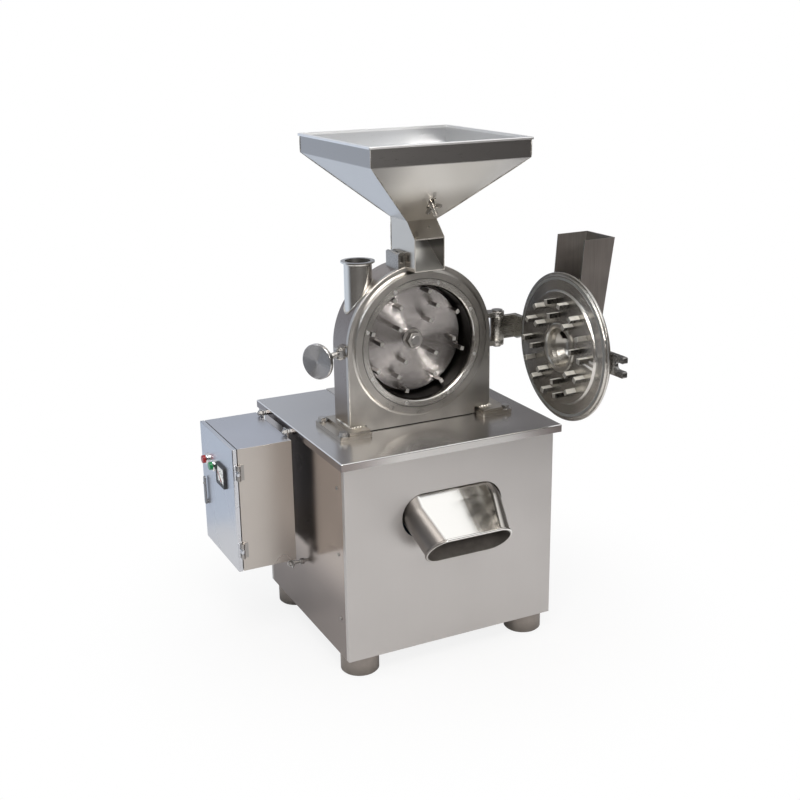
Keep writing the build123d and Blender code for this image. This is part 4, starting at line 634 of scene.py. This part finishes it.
# Rubber seals: a black frame under the mill's outlet and a ring round the shaft.
# Both are moulded and pressed in place.
rubber, bloomed = (0.012, 0.012, 0.012), (0.045, 0.044, 0.042)
pores = (700.0, 3.0, 0.20, 0.0004)
black_rubber = mottled("black_rubber", 90.0, 5.0, rubber, bloomed, 0.3, 0.50, pores)
dress(black_rubber, "rubber_seals")

# Drive: a bar shaft in two ball bearings, in an enamelled iron housing behind the head.
# V-belts come up to its pulley under a sheet guard; cap screws hold the bearing cap and the guard.
dress(enamel("housing_enamel", (0.22, 0.24, 0.25), 0.38), "bearing_housing")
dress(bar_steel, "main_shaft", "bearings")
dress(pulley_iron, "mill_pulley")
dress(black_rubber, "v_belts")
dress(sheet_steel("guard_sheet", (0.60, 0.58, 0.56), 0.32, upright, 0.03), "belt_guard")


def screw_circle(form, count, start, circle, face, outward, radius, height):
    """Screws round the rotor's axis, the first a share of a step past level."""
    for step in range(count):
        angle = math.tau * (step + start) / count
        rise = rotor_axis.z + circle * math.sin(angle)
        spot = (circle * math.cos(angle), face, rise)
        screw_head(form, spot, outward, radius, height)


cap_screws = bmesh.new()
cap_screw_count = 6
cap_screw_radius = 0.0045
cap_screw_height = 0.0040
cap_circle = 0.040
cap_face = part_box("bearing_housing")[1].y - 0.0010
screw_circle(
    cap_screws, cap_screw_count, 0.0, cap_circle, cap_face, backward,
    cap_screw_radius, cap_screw_height,
)
piece("cap_screws", cap_screws, screw_steel, "base")
guard_low, guard_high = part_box("belt_guard")
guard_screw_radius = 0.0040
guard_screw_height = 0.0022
guard_screw_inset = 0.007
guard_screw_levels = (0.15, 0.45)
guard_edges = (guard_low.x + guard_screw_inset, guard_high.x - guard_screw_inset)
guard_screws = rear_rows(guard_edges, guard_screw_levels, guard_screw_radius, guard_screw_height)
piece("guard_screws", guard_screws, screw_steel, "base")


# Rotor: a steel disc faced on the lathe, with square pins pressed in three circles and a nut.
# The tool's fine grooves throw the light in two bright fans; the pins' ends carry a painted
# highlight and their sides a painted shade.
def pin_steel(name, shaded_side_tint, highlit_end_tint, roughness, outward, settled=0.0):
    """Hardened bar: its ends face outward and are painted lighter as a painted highlight, its sides
    darker as a painted shade, and patches of old meal lie on it.

    The settled share says how thickly fresh meal lies on the sides that face up."""
    material, shader, place = new_finish(name)
    rub = noise(place, 130.0, 5.0)
    patchy = ramped(noise(place, 55.0, 6.0), 0.46, 0.68)
    end = ramped(facing(place, outward), 0.35, 0.80)
    # Painted shade on the sides, painted highlight on the ends.
    shaded_sides = varied(rub, shaded_side_tint, 0.6, 1.4)
    highlit_ends = varied(rub, highlit_end_tint, 0.8, 1.2)
    colour = mixed(patchy * 0.40, mixed(end, shaded_sides, highlit_ends), (0.16, 0.148, 0.12))
    dulled = rub * 0.20 + patchy * 0.14 + end * 0.12 + roughness
    metal = 1.0
    if settled:
        fresh = ramped(facing(place, straight_up), 0.25, 0.65) * (rub * 0.6 + 0.7) * settled
        colour = mixed(fresh, colour, (0.80, 0.77, 0.70))
        dulled = dulled + fresh * 0.40
        metal = 1 - fresh
    feed(shader, {
        "Base Color": colour,
        "Metallic": metal,
        "Roughness": dulled,
        "Normal": bumped(rub, 0.16, 0.0010),
    })
    return material


rotor_tint = (0.67, 0.635, 0.62)
dress(turned_steel("rotor_face", rotor_tint, 0.20, mill_middle, backward, 2.5), "rotor_disc")
towards_door = (0.0, -1.0, 0.0)
shaded_pin_side, highlit_pin_end = (0.14, 0.133, 0.126), (0.64, 0.625, 0.60)
dress(pin_steel("rotor_pin_steel", shaded_pin_side, highlit_pin_end, 0.20, towards_door), "rotor_pins")
shaded_nut_side, highlit_nut_end = (0.15, 0.143, 0.137), (0.50, 0.48, 0.46)
dress(pin_steel("rotor_nut_steel", shaded_nut_side, highlit_nut_end, 0.26, towards_door), "rotor_nut")
ease(0.0009, "rotor_pins", "rotor_nut")

# Screen and clamping ring: a perforated band round the rotor, held by a turned ring in the face.
# Eight flush screws hold the ring, clear of the shut door; old meal fills the seam round it.
# The screen is painted near black, a painted shade for the deep gap between the rotor and the ring.
screen_dark, shader, place = new_finish("screen_dark")
mesh_holes = place.node("ShaderNodeTexVoronoi", {}, {"Vector": place, "Scale": 420.0}, "Distance")
open_share = 1 - ramped(mesh_holes, 0.24, 0.34)
feed(shader, {
    "Base Color": mixed(open_share, (0.024, 0.022, 0.020), (0.004, 0.004, 0.004)),
    "Roughness": open_share * 0.4 + 0.46,
    "Metallic": 1.0,
})
dress(screen_dark, "screen_ring")
clamp_low, clamp_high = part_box("clamping_ring")
clamp_tint = (0.80, 0.775, 0.73)
clamp_seam = clamp_high.x - 0.0014
clamp_face = turned_steel(
    "clamp_ring_face", clamp_tint, 0.22, mill_middle, backward, 1.2, 1.6, seam=clamp_seam
)
dress(clamp_face, "clamping_ring")
bolt_circle = (clamp_high.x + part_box("screen_ring")[1].x) / 2
dark_face, bright_face = (0.60, 0.59, 0.57), (0.84, 0.83, 0.81)
ring_screw_steel = mottled(
    "ring_screw_steel", 500.0, 4.0, dark_face, bright_face, 0.20, 0.30, metal=1.0
)
ring_screws = bmesh.new()
ring_screw_count = 8
ring_screw_radius = 0.0044
ring_screw_height = 0.0003
ring_screw_start = 0.62
screw_circle(
    ring_screws, ring_screw_count, ring_screw_start, bolt_circle, clamp_low.y, towards_door,
    ring_screw_radius, ring_screw_height,
)
piece("ring_screws", ring_screws, ring_screw_steel, "base")

# Vent: a short pipe with a clamp ferrule, welded onto the arch's shoulder.
# Pipe and ferrule are drawn and polished lengthwise; the weld round its foot is left as it ran.
vent_low, vent_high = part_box("vent_pipe")
vent_middle = (vent_low + vent_high) / 2
vent_polish, shader, place = new_finish("vent_polish")
draw = brushed(place, upright, 120.0, 3.0)
haze = noise(place, 26.0, 4.0)
# Painted shade: the pipe's inside is a darker copy of its polished steel.
inside = inner_side(place, vent_middle, straight_up)
drawn = mixed(draw, (0.72, 0.705, 0.675), (0.96, 0.945, 0.91))
feed(shader, {
    "Base Color": mixed(inside, drawn, (0.48, 0.47, 0.45)),
    "Roughness": (haze - 0.5) * 0.12 + inside * 0.12 + 0.21,
    "Normal": bumped(draw, 0.05, 0.003),
    "Metallic": 1.0,
})
dress(vent_polish, "vent_pipe")
vent_radius = 0.034
vent_foot = bmesh.new()
vent_steps = 40
vent_bead = 0.0032
vent_ripple = 0.0006
vent_rings = []
for step in range(vent_steps):
    angle = math.tau * step / vent_steps
    away = Vector((math.cos(angle), math.sin(angle), 0.0))
    spot = vent_middle + away * vent_radius
    spot.z = rotor_axis.z + math.sqrt(shell_high.x**2 - spot.x**2)
    bead = vent_bead + vent_ripple * math.sin(step * math.tau / 4)
    vent_rings.append(hoop(spot, away, Vector(straight_up), bead, 8))
skin(vent_foot, vent_rings, True)
piece("vent_weld", vent_foot, weld_steel, "base")

# Feed duct: a crooked square duct folded from sheet, on the arch between grooved bars and lugs.
# Its rear corners are seam-welded and brushed over; heat has pulled its front wall in a little.
# Inside, its walls carry a painted shade and its floor a painted light, brightest low down.
duct_low, duct_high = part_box("feed_duct")
duct_middle = (duct_low + duct_high) / 2
duct_sheet, shader, place = new_finish("duct_sheet")
brush = brushed(place, upright, 700.0, 4.0)
cloud = noise(place, 12.0, 4.0)
inside = inner_side(place, duct_middle, straight_up)
duct_top = duct_high.z - 0.04
low_down = 1 - ramped(height_of(place), duct_low.z, duct_top)
# Painted light on the duct's floor, strongest low down.
floor_light = ramped(facing(place, straight_up), 0.4, 0.7) * low_down
outer = mixed((brush - 0.5) * 0.4 + cloud, (0.62, 0.585, 0.53), (0.80, 0.76, 0.695))
# Painted shade on the duct's inner walls.
shaded_walls = mixed(inside, outer, (0.13, 0.12, 0.11))
front_dish = 0.16
forward = ramped(facing(place, towards_door), 0.90, 0.97) * (1 - inside)
dish = place.vector("SCALE", (0.0, 0.0, -1.0), forward * front_dish)
dished = place.vector("ADD", bumped(cloud, 0.04, 0.004), dish)
feed(shader, {
    "Base Color": mixed(floor_light, shaded_walls, (0.86, 0.84, 0.79)),
    "Roughness": (cloud - 0.5) * 0.16 + floor_light * 0.16 + 0.24,
    "Normal": place.vector("NORMALIZE", dished),
    "Metallic": 1.0,
})
dress(duct_sheet, "feed_duct")
dress(ground_plate("bracket_plate", (0.43, 0.41, 0.385), 0.30, 0.0), "duct_brackets")
ease(0.0007, "duct_brackets")
duct_seams = bmesh.new()
duct_seam = 0.003
duct_seam_foot = duct_low.z + 0.01
for edge in (duct_low.x, duct_high.x):
    foot = (edge, duct_high.y, duct_seam_foot)
    weld_bead(duct_seams, foot, (edge, duct_high.y, duct_high.z), duct_seam)
piece("duct_seams", duct_seams, weld_steel, "base")

# Hopper: a square funnel with an upright band and a rolled rim, of sheet welded at its corners.
# It is brushed across, its seams are ground down to a fine bead, and its front slope is bowed.
# Its front slope carries a painted highlight in the middle, and its rolled rim is painted near
# white as a painted highlight.
hopper_low, hopper_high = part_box("hopper")
hopper_middle = (hopper_low + hopper_high) / 2
rim = 0.005
rim_foot = hopper_high.z - 0.0065
band_foot = hopper_high.z - 0.046
hopper_sheet, shader, place = new_finish("hopper_sheet")
brush = brushed(place, crosswise, 900.0, 4.0)
cloud = noise(place, 3.0, 2.0)
inside = inner_side(place, hopper_middle, straight_up)
# Painted highlight: the rolled rim is painted near white.
rolled = ramped(height_of(place), rim_foot, rim_foot + 0.0010)
below = 1 - ramped(height_of(place), band_foot - 0.004, band_foot)
front_slope = ramped(facing(place, towards_door), 0.5, 0.65) * below
# Painted highlight: a pale, partly matt patch on the upper middle of the front slope.
belly_highlight = front_slope * (1 - ramped(off_middle(place), 0.06, 0.20)) * (1 - inside)
tone = (brush - 0.5) * 0.10 + (cloud - 0.5) * 0.5 + 0.5
sheet = mixed(tone, (0.60, 0.59, 0.575), (0.74, 0.73, 0.715))
banded = mixed(below, (0.43, 0.42, 0.415), sheet)
upper = ramped(height_of(place), hopper_low.z + 0.06, band_foot - 0.05)
highlight_colours = mixed(upper, (0.64, 0.61, 0.56), (1.0, 0.98, 0.93))
lit_belly = mixed(belly_highlight, banded, highlight_colours)
rubbed = mixed(inside, lit_belly, (0.76, 0.765, 0.77))
dulled = (brush - 0.5) * 0.03 + front_slope * 0.02 + rolled * 0.10
feed(shader, {
    "Base Color": mixed(rolled, rubbed, (0.94, 0.94, 0.94)),
    "Roughness": dulled + 0.28,
    "Normal": bumped(noise(place, 6.0, 1.0), 0.04, 0.004),
    "Metallic": 1 - belly_highlight * upper * 0.55,
})
dress(hopper_sheet, "hopper")
hopper_seams = bmesh.new()
slope_seam = 0.0030
band_seam = 0.0032
seam_ripple = 0.05
throat_front = duct_low.y + 0.039
seam_top = hopper_high.z - 0.006
for side in (-1, 1):
    band_x = side * (hopper_high.x - rim)
    for throat_y, band_y in (
        (throat_front, hopper_low.y + rim),
        (duct_high.y, hopper_high.y - rim),
    ):
        throat = (side * duct_high.x, throat_y, duct_high.z)
        corner = (band_x, band_y, band_foot)
        weld_bead(hopper_seams, throat, corner, slope_seam, seam_ripple)
        weld_bead(hopper_seams, corner, (band_x, band_y, seam_top), band_seam, seam_ripple)
piece("hopper_seams", hopper_seams, weld_steel, "base")


# Feed gate: a slide plate inside the hopper's front slope, cut from the duct's sheet.
# Its threaded stud comes out through a slot, and a cast and buffed wing nut clamps it.
def thread(form, start, along, radius, length, pitch):
    """A screw thread as one ridge wound about a rod."""
    stand = standing(start, along)
    root, crest, half = -0.0001, pitch * 0.30, pitch * 0.48
    ridge = ((root, -half), (crest, 0.0), (root, half))
    steps = 16
    rings = []
    for step in range(round(length / pitch) * steps + 1):
        angle = math.tau * step / steps
        rise = pitch * step / steps
        out = Vector((math.cos(angle), math.sin(angle), 0.0))
        points = (out * (radius + proud) + Vector((0.0, 0.0, rise + up)) for proud, up in ridge)
        rings.append([stand @ point for point in points])
    skin(form, rings, False)


def buffed(name, tint, roughness, wave, hollows):
    """Mirror-buffed stainless with fine wipe marks and shallow hollows, so many to the metre."""
    material, shader, place = new_finish(name)
    wipe = noise(place, 240.0, 5.0)
    dent = noise(place, hollows, 2.0)
    haze = ramped(noise(place, 26.0, 4.0), 0.45, 0.75)
    clean = varied(wipe, tint, 0.95, 1.05)
    feed(shader, {
        "Base Color": mixed(haze * 0.25, clean, shade(tint, 0.82)),
        "Roughness": (wipe - 0.5) * 0.06 + haze * 0.08 + roughness,
        "Normal": bumped(dent, wave, 0.006),
        "Metallic": 1.0,
    })
    return material


dress(duct_sheet, "feed_gate")
dress(buffed("wing_nut_polish", (0.62, 0.60, 0.57), 0.18, 0.06, 60.0), "wing_nut")
gate_out = Vector(joints["wing_turn"]["axis"])
stud_spot = Vector(joints["wing_turn"]["pos_m"])
stud_radius = 0.005
stud_length = 0.016
stud_pitch = 0.0012
stud_clear = 0.0005
stud_start = stud_spot + gate_out * stud_clear
stud_thread = bmesh.new()
thread(stud_thread, stud_start, gate_out, stud_radius, stud_length, stud_pitch)
piece("stud_thread", stud_thread, screw_steel, "feed_gate")

# Latch: an eye bolt that swings between two lugs on the shell, with a washer and a hand knob.
# The knob is faced on the lathe like the rotor and shines the same way.
dress(ground_plate("lug_plate", (0.50, 0.48, 0.45), 0.30, 0.0), "shell_lugs")
ease(0.0007, "shell_lugs")
dress(bar_steel, "pivot_pins", "swing_bolt", "clamp_washer")
knob_axis = Vector(joints["knob_turn"]["axis"])
knob_spot = Vector(joints["knob_turn"]["pos_m"])
knob_tint = (0.60, 0.58, 0.565)
dress(turned_steel("knob_face", knob_tint, 0.20, knob_spot, knob_axis, 1.8, 0.7), "hand_knob")
bolt_eye = Vector(joints["bolt_swing"]["pos_m"])
bolt_radius = 0.007
bolt_thread_length = 0.019
bolt_pitch = 0.0020
bolt_shank = 0.020
bolt_start = bolt_eye + knob_axis * bolt_shank
bolt_thread = bmesh.new()
thread(bolt_thread, bolt_start, knob_axis, bolt_radius, bolt_thread_length, bolt_pitch)
piece("bolt_thread", bolt_thread, screw_steel, "swing_bolt")

# Pin door: a thick turned disc with two circles of square pins, a funnel through its middle and
# a feed chute. It hangs on a cranked arm, and a fork on its far edge takes the swing bolt; meal
# lies on its pins, a painted shade darkens the disc on one side, and the chute's walls that face
# along the door carry a painted shade.
door_turn = math.radians(-joints["door_hinge"]["range_deg"][0])
hinge_spot = Vector(joints["door_hinge"]["pos_m"])
swing = Matrix.Rotation(door_turn, 4, "Z")
opened = Matrix.Translation(hinge_spot) @ swing @ Matrix.Translation(-hinge_spot)
door_middle = opened @ Vector((0.0, face_low.y, rotor_axis.z))
door_axis = opened.to_3x3() @ Vector(backward)
# Painted shade on the door's disc towards one side.
door_shade = (opened.to_3x3() @ hinge_side, -0.15, -0.03, 0.82)
door_tint = (0.78, 0.755, 0.71)
door_steel = turned_steel(
    "door_face", door_tint, 0.24, door_middle, door_axis, 0.8, 1.0, painted_shade=door_shade
)
dress(door_steel, "door_disc")
# Painted shade on the pins' sides and painted highlight on their ends.
shaded_pin_side, highlit_pin_end = (0.13, 0.125, 0.115), (0.62, 0.60, 0.56)
door_pin_steel = pin_steel("door_pin_steel", shaded_pin_side, highlit_pin_end, 0.16, door_axis, 0.75)
dress(door_pin_steel, "door_pins")
ease(0.0010, "door_pins", "door_disc")
dress(buffed("bowl_polish", (0.44, 0.42, 0.385), 0.28, 0.10, 60.0), "inlet_bowl")
dark_grey, pale_grey = (0.13, 0.13, 0.125), (0.22, 0.22, 0.21)
gasket_silicone = mottled("gasket_silicone", 60.0, 4.0, dark_grey, pale_grey, 0.2, 0.45)
dress(gasket_silicone, "door_gasket")
chute_wall, shader, place = new_finish("chute_wall")
brush = brushed(place, upright, 300.0, 4.0)
cloud = noise(place, 11.0, 4.0)
# Painted shade on the chute's walls that face along the door's axis.
shaded_chute_side = ramped(facing(place, door_axis), 0.5, 0.9)
rubbed = mixed((brush - 0.5) * 0.8 + cloud, (0.62, 0.57, 0.54), (0.94, 0.88, 0.84))
feed(shader, {
    "Base Color": mixed(shaded_chute_side, rubbed, (0.215, 0.215, 0.20)),
    "Roughness": (cloud - 0.5) * 0.10 + 0.32,
    "Normal": bumped(cloud, 0.04, 0.004),
    "Metallic": 1.0,
})
dress(chute_wall, "feed_chute")
dress(ground_plate("arm_plate", (0.40, 0.385, 0.35), 0.28, 0.0), "hinge_arm")
dress(ground_plate("fork_plate", (0.30, 0.295, 0.285), 0.24, 0.0), "latch_fork")
ease(0.0010, "hinge_arm", "latch_fork")

# Control box: a stainless tray with a folded front lip, hung from the cabinet on four standoffs.
# Its door is a second tray on two small butt hinges, and a nylon gland closes the cable hole below;
# the back towards the cabinet is painted black as painted shade, and its top is tinted blue as a
# painted reflection of the daylight.
box_tint = (0.535, 0.497, 0.46)
# Painted reflection on the top; painted shade on the back towards the cabinet.
box_top_reflection_tint = (0.575, 0.585, 0.625)
box_back_shade_tint = (0.07, 0.064, 0.06)


def lying_level(place):
    """One on what lies level and faces up."""
    return ramped(facing(place, straight_up), 0.5, 0.9)


def by_cabinet(place):
    """One on what faces the cabinet."""
    return ramped(facing(place, sideways), 0.5, 0.9)


every_way = (1.0, 1.0, 1.0)
box_others = (box_top_reflection_tint, lying_level), (box_back_shade_tint, by_cabinet)
dress(sheet_steel("box_sheet", box_tint, 0.28, upright, 0.025, *box_others), "control_box")
dress(sheet_steel("box_door_sheet", (0.62, 0.635, 0.67), 0.26, upright, 0.020), "box_door")
dress(sheet_steel("hinge_sheet", (0.37, 0.355, 0.34), 0.30, every_way, 0.03), "box_hinges")
dress(sheet_steel("zinc_sheet", (0.60, 0.60, 0.59), 0.26, every_way, 0.03), "back_plate")
dress(bar_steel, "box_brackets")
ease(0.0008, "control_box", "box_door")
black, rubbed_black = (0.018, 0.018, 0.020), (0.040, 0.040, 0.042)
spark_grain = (300.0, 4.0, 0.10, 0.0004)
nylon = mottled("gland_nylon", 300.0, 4.0, black, rubbed_black, 0.25, 0.30, spark_grain)
dress(nylon, "cable_gland", "meter_case")

# Panel meter: a black moulded frame with a white printed card, a red needle and a clear window.
# The card carries an arc of strokes and plain numbers.
red, pale_red = (0.30, 0.015, 0.012), (0.42, 0.03, 0.025)
dress(mottled("needle_red", 400.0, 3.0, red, pale_red, 0.0, 0.45), "meter_needle")
paper, pale_paper = (0.78, 0.78, 0.76), (0.86, 0.86, 0.85)
card_white = mottled("card_white", 250.0, 4.0, paper, pale_paper, 0.2, 0.45)
ink, pale_ink = (0.01, 0.01, 0.01), (0.03, 0.03, 0.03)
print_black = mottled("print_black", 600.0, 2.0, ink, pale_ink, 0.2, 0.5)
case_low, case_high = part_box("meter_case")
needle_hub = Vector(joints["needle_swing"]["pos_m"])
card_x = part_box("box_door")[0].x - 0.0021
card_thickness = Vector((0.0002, 0.0, 0.0))
frame_edge = 0.0052
frame_foot = 0.0082
card_low = Vector((card_x, case_low.y + frame_edge, case_low.z + frame_foot))
card_high = Vector((card_x, case_high.y - frame_edge, case_high.z - frame_edge))


def slab(form, low, high):
    """A thin plate between two corners, with its edges broken."""
    made = bmesh.ops.create_cube(form, size=1.0)["verts"]
    size = Vector(high) - Vector(low)
    bmesh.ops.scale(form, vec=size, verts=made)
    bmesh.ops.translate(form, vec=(Vector(high) + Vector(low)) / 2, verts=made)
    edges = list({edge for vert in made for edge in vert.link_edges})
    bmesh.ops.bevel(form, geom=edges, offset=min(size) * 0.2, segments=2, affect="EDGES")


card = bmesh.new()
slab(card, card_low - card_thickness, card_high)
piece("dial_card", card, card_white, "box_door")
strokes = bmesh.new()
scale_radius = 0.027
scale_half = 45.0
scale_steps = 20
steps_to_figure = 5
long_stroke, wide_half = 0.0042, 0.00032
short_stroke, slim_half = 0.0024, 0.0002
foot = Vector((card_x - 0.00028, needle_hub.y, needle_hub.z))
thick = Vector((0.0001, 0.0, 0.0))
for step in range(scale_steps + 1):
    angle = math.radians(scale_half * (2 * step / scale_steps - 1))
    figured = step % steps_to_figure == 0
    inner = scale_radius - (long_stroke if figured else short_stroke)
    half = wide_half if figured else slim_half
    aim = Vector((0.0, math.sin(angle), math.cos(angle)))
    across = Vector((0.0, math.cos(angle), -math.sin(angle))) * half
    rings = []
    for reach in (inner, scale_radius):
        left, right = foot + aim * reach - across, foot + aim * reach + across
        rings.append([left - thick, right - thick, right + thick, left + thick])
    skin(strokes, rings, False)
piece("dial_strokes", strokes, print_black, "box_door")
figure_size = 0.0052
figure_radius = scale_radius - 0.0075
figure_x = card_x - 0.0003
figures = ("0", "10", "20", "30", "40")
towards_reader = Matrix(((0.0, 0.0, -1.0), (-1.0, 0.0, 0.0), (0.0, 1.0, 0.0))).to_4x4()
for step, figure in enumerate(figures):
    angle = math.radians(scale_half * (1 - 2 * step / (len(figures) - 1)))
    text = bpy.data.curves.new("dial_figure_" + figure, "FONT")
    text.body = figure
    text.size = figure_size
    text.align_x = "CENTER"
    text.align_y = "CENTER"
    text.extrude = thick.x
    text.materials.append(print_black)
    written = put("dial_figure_" + figure, text)
    spot = needle_hub + Vector((0.0, math.sin(angle), math.cos(angle))) * figure_radius
    spot.x = figure_x
    written.matrix_world = Matrix.Translation(spot) @ towards_reader
    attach(written, "box_door")
meter_glass, shader, place = new_finish("meter_glass")
print_marks = ramped(noise(place, 90.0, 5.0), 0.52, 0.80)
feed(shader, {
    "Roughness": print_marks * 0.10 + 0.02,
    "Base Color": (0.97, 0.98, 0.98),
    "Transmission Weight": 1.0,
    "IOR": 1.1,
})
window = bmesh.new()
pane_front = case_low.x + 0.0004
pane_back = case_low.x + 0.0012
slab(window, (pane_front, card_low.y, card_low.z), (pane_back, card_high.y, card_high.z))
piece("meter_window", window, meter_glass, "box_door")


# Buttons and lock: push buttons in bright collars, red to stop and green to start, and a lock.
# The caps are moulded in coloured plastic; the lock's lever is dark steel and holds its barrel.
def cap_plastic(name, tint):
    """Moulded cap, glossy and a little rubbed."""
    whole, rubbed = shade(tint, 0.75), shade(tint, 1.20)
    return mottled(name, 140.0, 4.0, whole, rubbed, 0.22, 0.16, coat=0.3)


dress(cap_plastic("stop_red", (0.40, 0.020, 0.022)), "stop_button")
dress(cap_plastic("start_green", (0.010, 0.26, 0.075)), "start_button")
dress(buffed("collar_chrome", (0.80, 0.80, 0.80), 0.10, 0.04, 80.0), "button_bodies")
dress(sheet_steel("lever_steel", (0.27, 0.27, 0.28), 0.30, upright, 0.02), "lock_handle")
lock_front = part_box("lock_handle")[0].x
lock_pivot = Vector(joints["lock_turn"]["pos_m"])
barrel_rise = 0.052
barrel_radius = 0.0042
barrel_height = 0.0016
barrel_spot = (lock_front, lock_pivot.y, lock_pivot.z + barrel_rise)
lock_barrel = bmesh.new()
screw_head(lock_barrel, barrel_spot, (-1.0, 0.0, 0.0), barrel_radius, barrel_height)
piece("lock_barrel", lock_barrel, screw_steel, "lock_handle")

# Switchgear: a contactor, a breaker, a relay and a row of terminals clipped to the zinc back plate.
# Their cases are moulded in grey plastic with a fine grain.
grey, pale_case = (0.30, 0.31, 0.31), (0.44, 0.45, 0.45)
case_grain = (500.0, 4.0, 0.10, 0.0004)
case_grey = mottled("case_grey", 500.0, 4.0, grey, pale_case, 0.25, 0.35, case_grain)
dress(case_grey, "switchgear")
ease(0.0012, "switchgear")

# Room: daylight from the back and the left, a bright ceiling and a dim hall in front, all for
# the steel to show. What is seen past the machine is plain white.
world = bpy.data.worlds.new("room")
bpy.context.scene.world = world
world.use_nodes = True
world.node_tree.nodes.clear()
air = Paint(world.node_tree)
look = air.node("ShaderNodeTexCoord", {}, {}, "Generated")
look_x, look_y, look_z = (
    air.node("ShaderNodeSeparateXYZ", {}, {0: look}, axis) for axis in "XYZ"
)
daylight = ramped(look_y * 0.90 - look_x * 0.35, 0.30, 0.80)
far_floor = ramped(0 - look_z, 0.08, 0.22) * ramped(look_y * 0.7 + look_x * 0.7, 0.55, 0.85)
gloom = mixed(far_floor, (0.10, 0.093, 0.088), (0.80, 0.79, 0.77))
hall = mixed(daylight, gloom, (0.62, 0.68, 0.78))
back_wall = ramped(look_z, -0.05, 0.12) * ramped(look_y, 0.2, 0.7)
doorway = ramped(look_x * 0.87 - look_y * 0.50, -0.22, 0.06)
wall = mixed(doorway, (0.53, 0.57, 0.65), (0.12, 0.112, 0.115))
walls = mixed(back_wall, hall, wall)
overhead = ramped(look_z, 0.32, 0.78) * ramped(look_x, -0.60, -0.20)
room = mixed(overhead, walls, (0.96, 0.97, 1.0))
camera_ray, glass_ray, metal_ray = (
    air.node("ShaderNodeLightPath", {}, {}, f"Is {kind} Ray")
    for kind in ("Camera", "Transmission", "Glossy")
)
backdrop = camera_ray + (1 - camera_ray) * (glass_ray + metal_ray * overhead)
dim = air.node("ShaderNodeBackground", {}, {"Color": room, "Strength": 1.0})
white = air.node("ShaderNodeBackground", {}, {"Color": (1.0, 1.0, 1.0), "Strength": 1.0})
lit = air.node("ShaderNodeMixShader", {}, {0: backdrop, 1: dim, 2: white})
air.node("ShaderNodeOutputWorld", {}, {"Surface": lit})

# Floor: a round of pale paint that fades into the white round it and keeps the machine's shadow.
# It stops short of the hall, so that the steel shows darker reaches further off.
floor_radius = 1.72
floor_place = Matrix.Translation((-0.25, -0.85, -0.0005))
floor_form = bmesh.new()
bmesh.ops.create_circle(
    floor_form, cap_ends=True, segments=96, radius=floor_radius, matrix=floor_place
)
floor_mesh = bpy.data.meshes.new("floor")
floor_form.to_mesh(floor_mesh)
floor_form.free()
floor = put("floor", floor_mesh)
pale_floor = bpy.data.materials.new("pale_floor")
pale_floor.use_nodes = True
pale_floor.node_tree.nodes.clear()
paint = Paint(pale_floor.node_tree)
matt = paint.node("ShaderNodeBsdfDiffuse", {}, {"Color": (0.80, 0.79, 0.78)})
bright = paint.node("ShaderNodeEmission", {}, {"Color": (1.0, 1.0, 1.0), "Strength": 1.0})
seen = paint.node("ShaderNodeLightPath", {}, {}, "Is Camera Ray")
mirrored = paint.node("ShaderNodeLightPath", {}, {}, "Is Glossy Ray")
place = paint.node("ShaderNodeTexCoord", {}, {}, "Object")
fade = ramped(paint.vector("LENGTH", place), 0.35, 0.95) * 0.15 + 0.85
shown = seen * fade + mirrored * 0.12
surface = paint.node("ShaderNodeMixShader", {}, {0: shown, 1: matt, 2: bright})
paint.node("ShaderNodeOutputMaterial", {}, {"Surface": surface})
floor_mesh.materials.append(pale_floor)

# Lamps: soft boxes overhead, at the window and in front, each turned to the mill.
# They hang high, so that upright sheet does not throw them back at someone standing before it.
lamp_aim = Vector((0.0, -0.1, 0.7))
for name, spot, width, height, power, colour in (
    ("ceiling_lamp", (-1.0, -1.8, 3.0), 1.5, 1.5, 44.0, (1.0, 0.98, 0.95)),
    ("window_lamp", (-2.7, 0.4, 2.5), 0.9, 1.4, 18.0, (0.90, 0.95, 1.0)),
    ("front_lamp", (0.12, -3.2, 2.05), 0.60, 0.70, 30.0, (1.0, 0.97, 0.94)),
):
    lamp = bpy.data.lights.new(name, "AREA")
    lamp.shape = "RECTANGLE"
    lamp.size = width
    lamp.size_y = height
    lamp.energy = power
    lamp.color = colour
    hung = put(name, lamp)
    hung.location = spot
    hung.rotation_euler = (lamp_aim - Vector(spot)).to_track_quat("-Z", "Y").to_euler()

# Camera: stands to the left of the machine's front, a little above its hopper's rim.
# Its place and turn are those of the photograph, for a square picture.
camera_data = bpy.data.cameras.new("camera")
camera_data.sensor_width = 36.0
camera_data.lens = 53.906
camera_data.clip_end = 60.0
camera = put("camera", camera_data)
yaw, pitch, roll = 0.456385, 0.305782, -0.0148708
level_ahead = Vector((math.sin(yaw), math.cos(yaw), 0.0))
level_right = Vector((math.cos(yaw), -math.sin(yaw), 0.0))
plumb = Vector(straight_up)
ahead = level_ahead * math.cos(pitch) - plumb * math.sin(pitch)
above = level_ahead * math.sin(pitch) + plumb * math.cos(pitch)
right = level_right * math.cos(roll) + above * math.sin(roll)
above = above * math.cos(roll) - level_right * math.sin(roll)
turn = Matrix((right, above, -ahead)).transposed().to_4x4()
camera_spot = (-1.30508, -2.63816, 1.53147)
camera.matrix_world = Matrix.Translation(camera_spot) @ turn
bpy.context.scene.camera = camera
bpy.context.scene.view_settings.view_transform = "Standard"
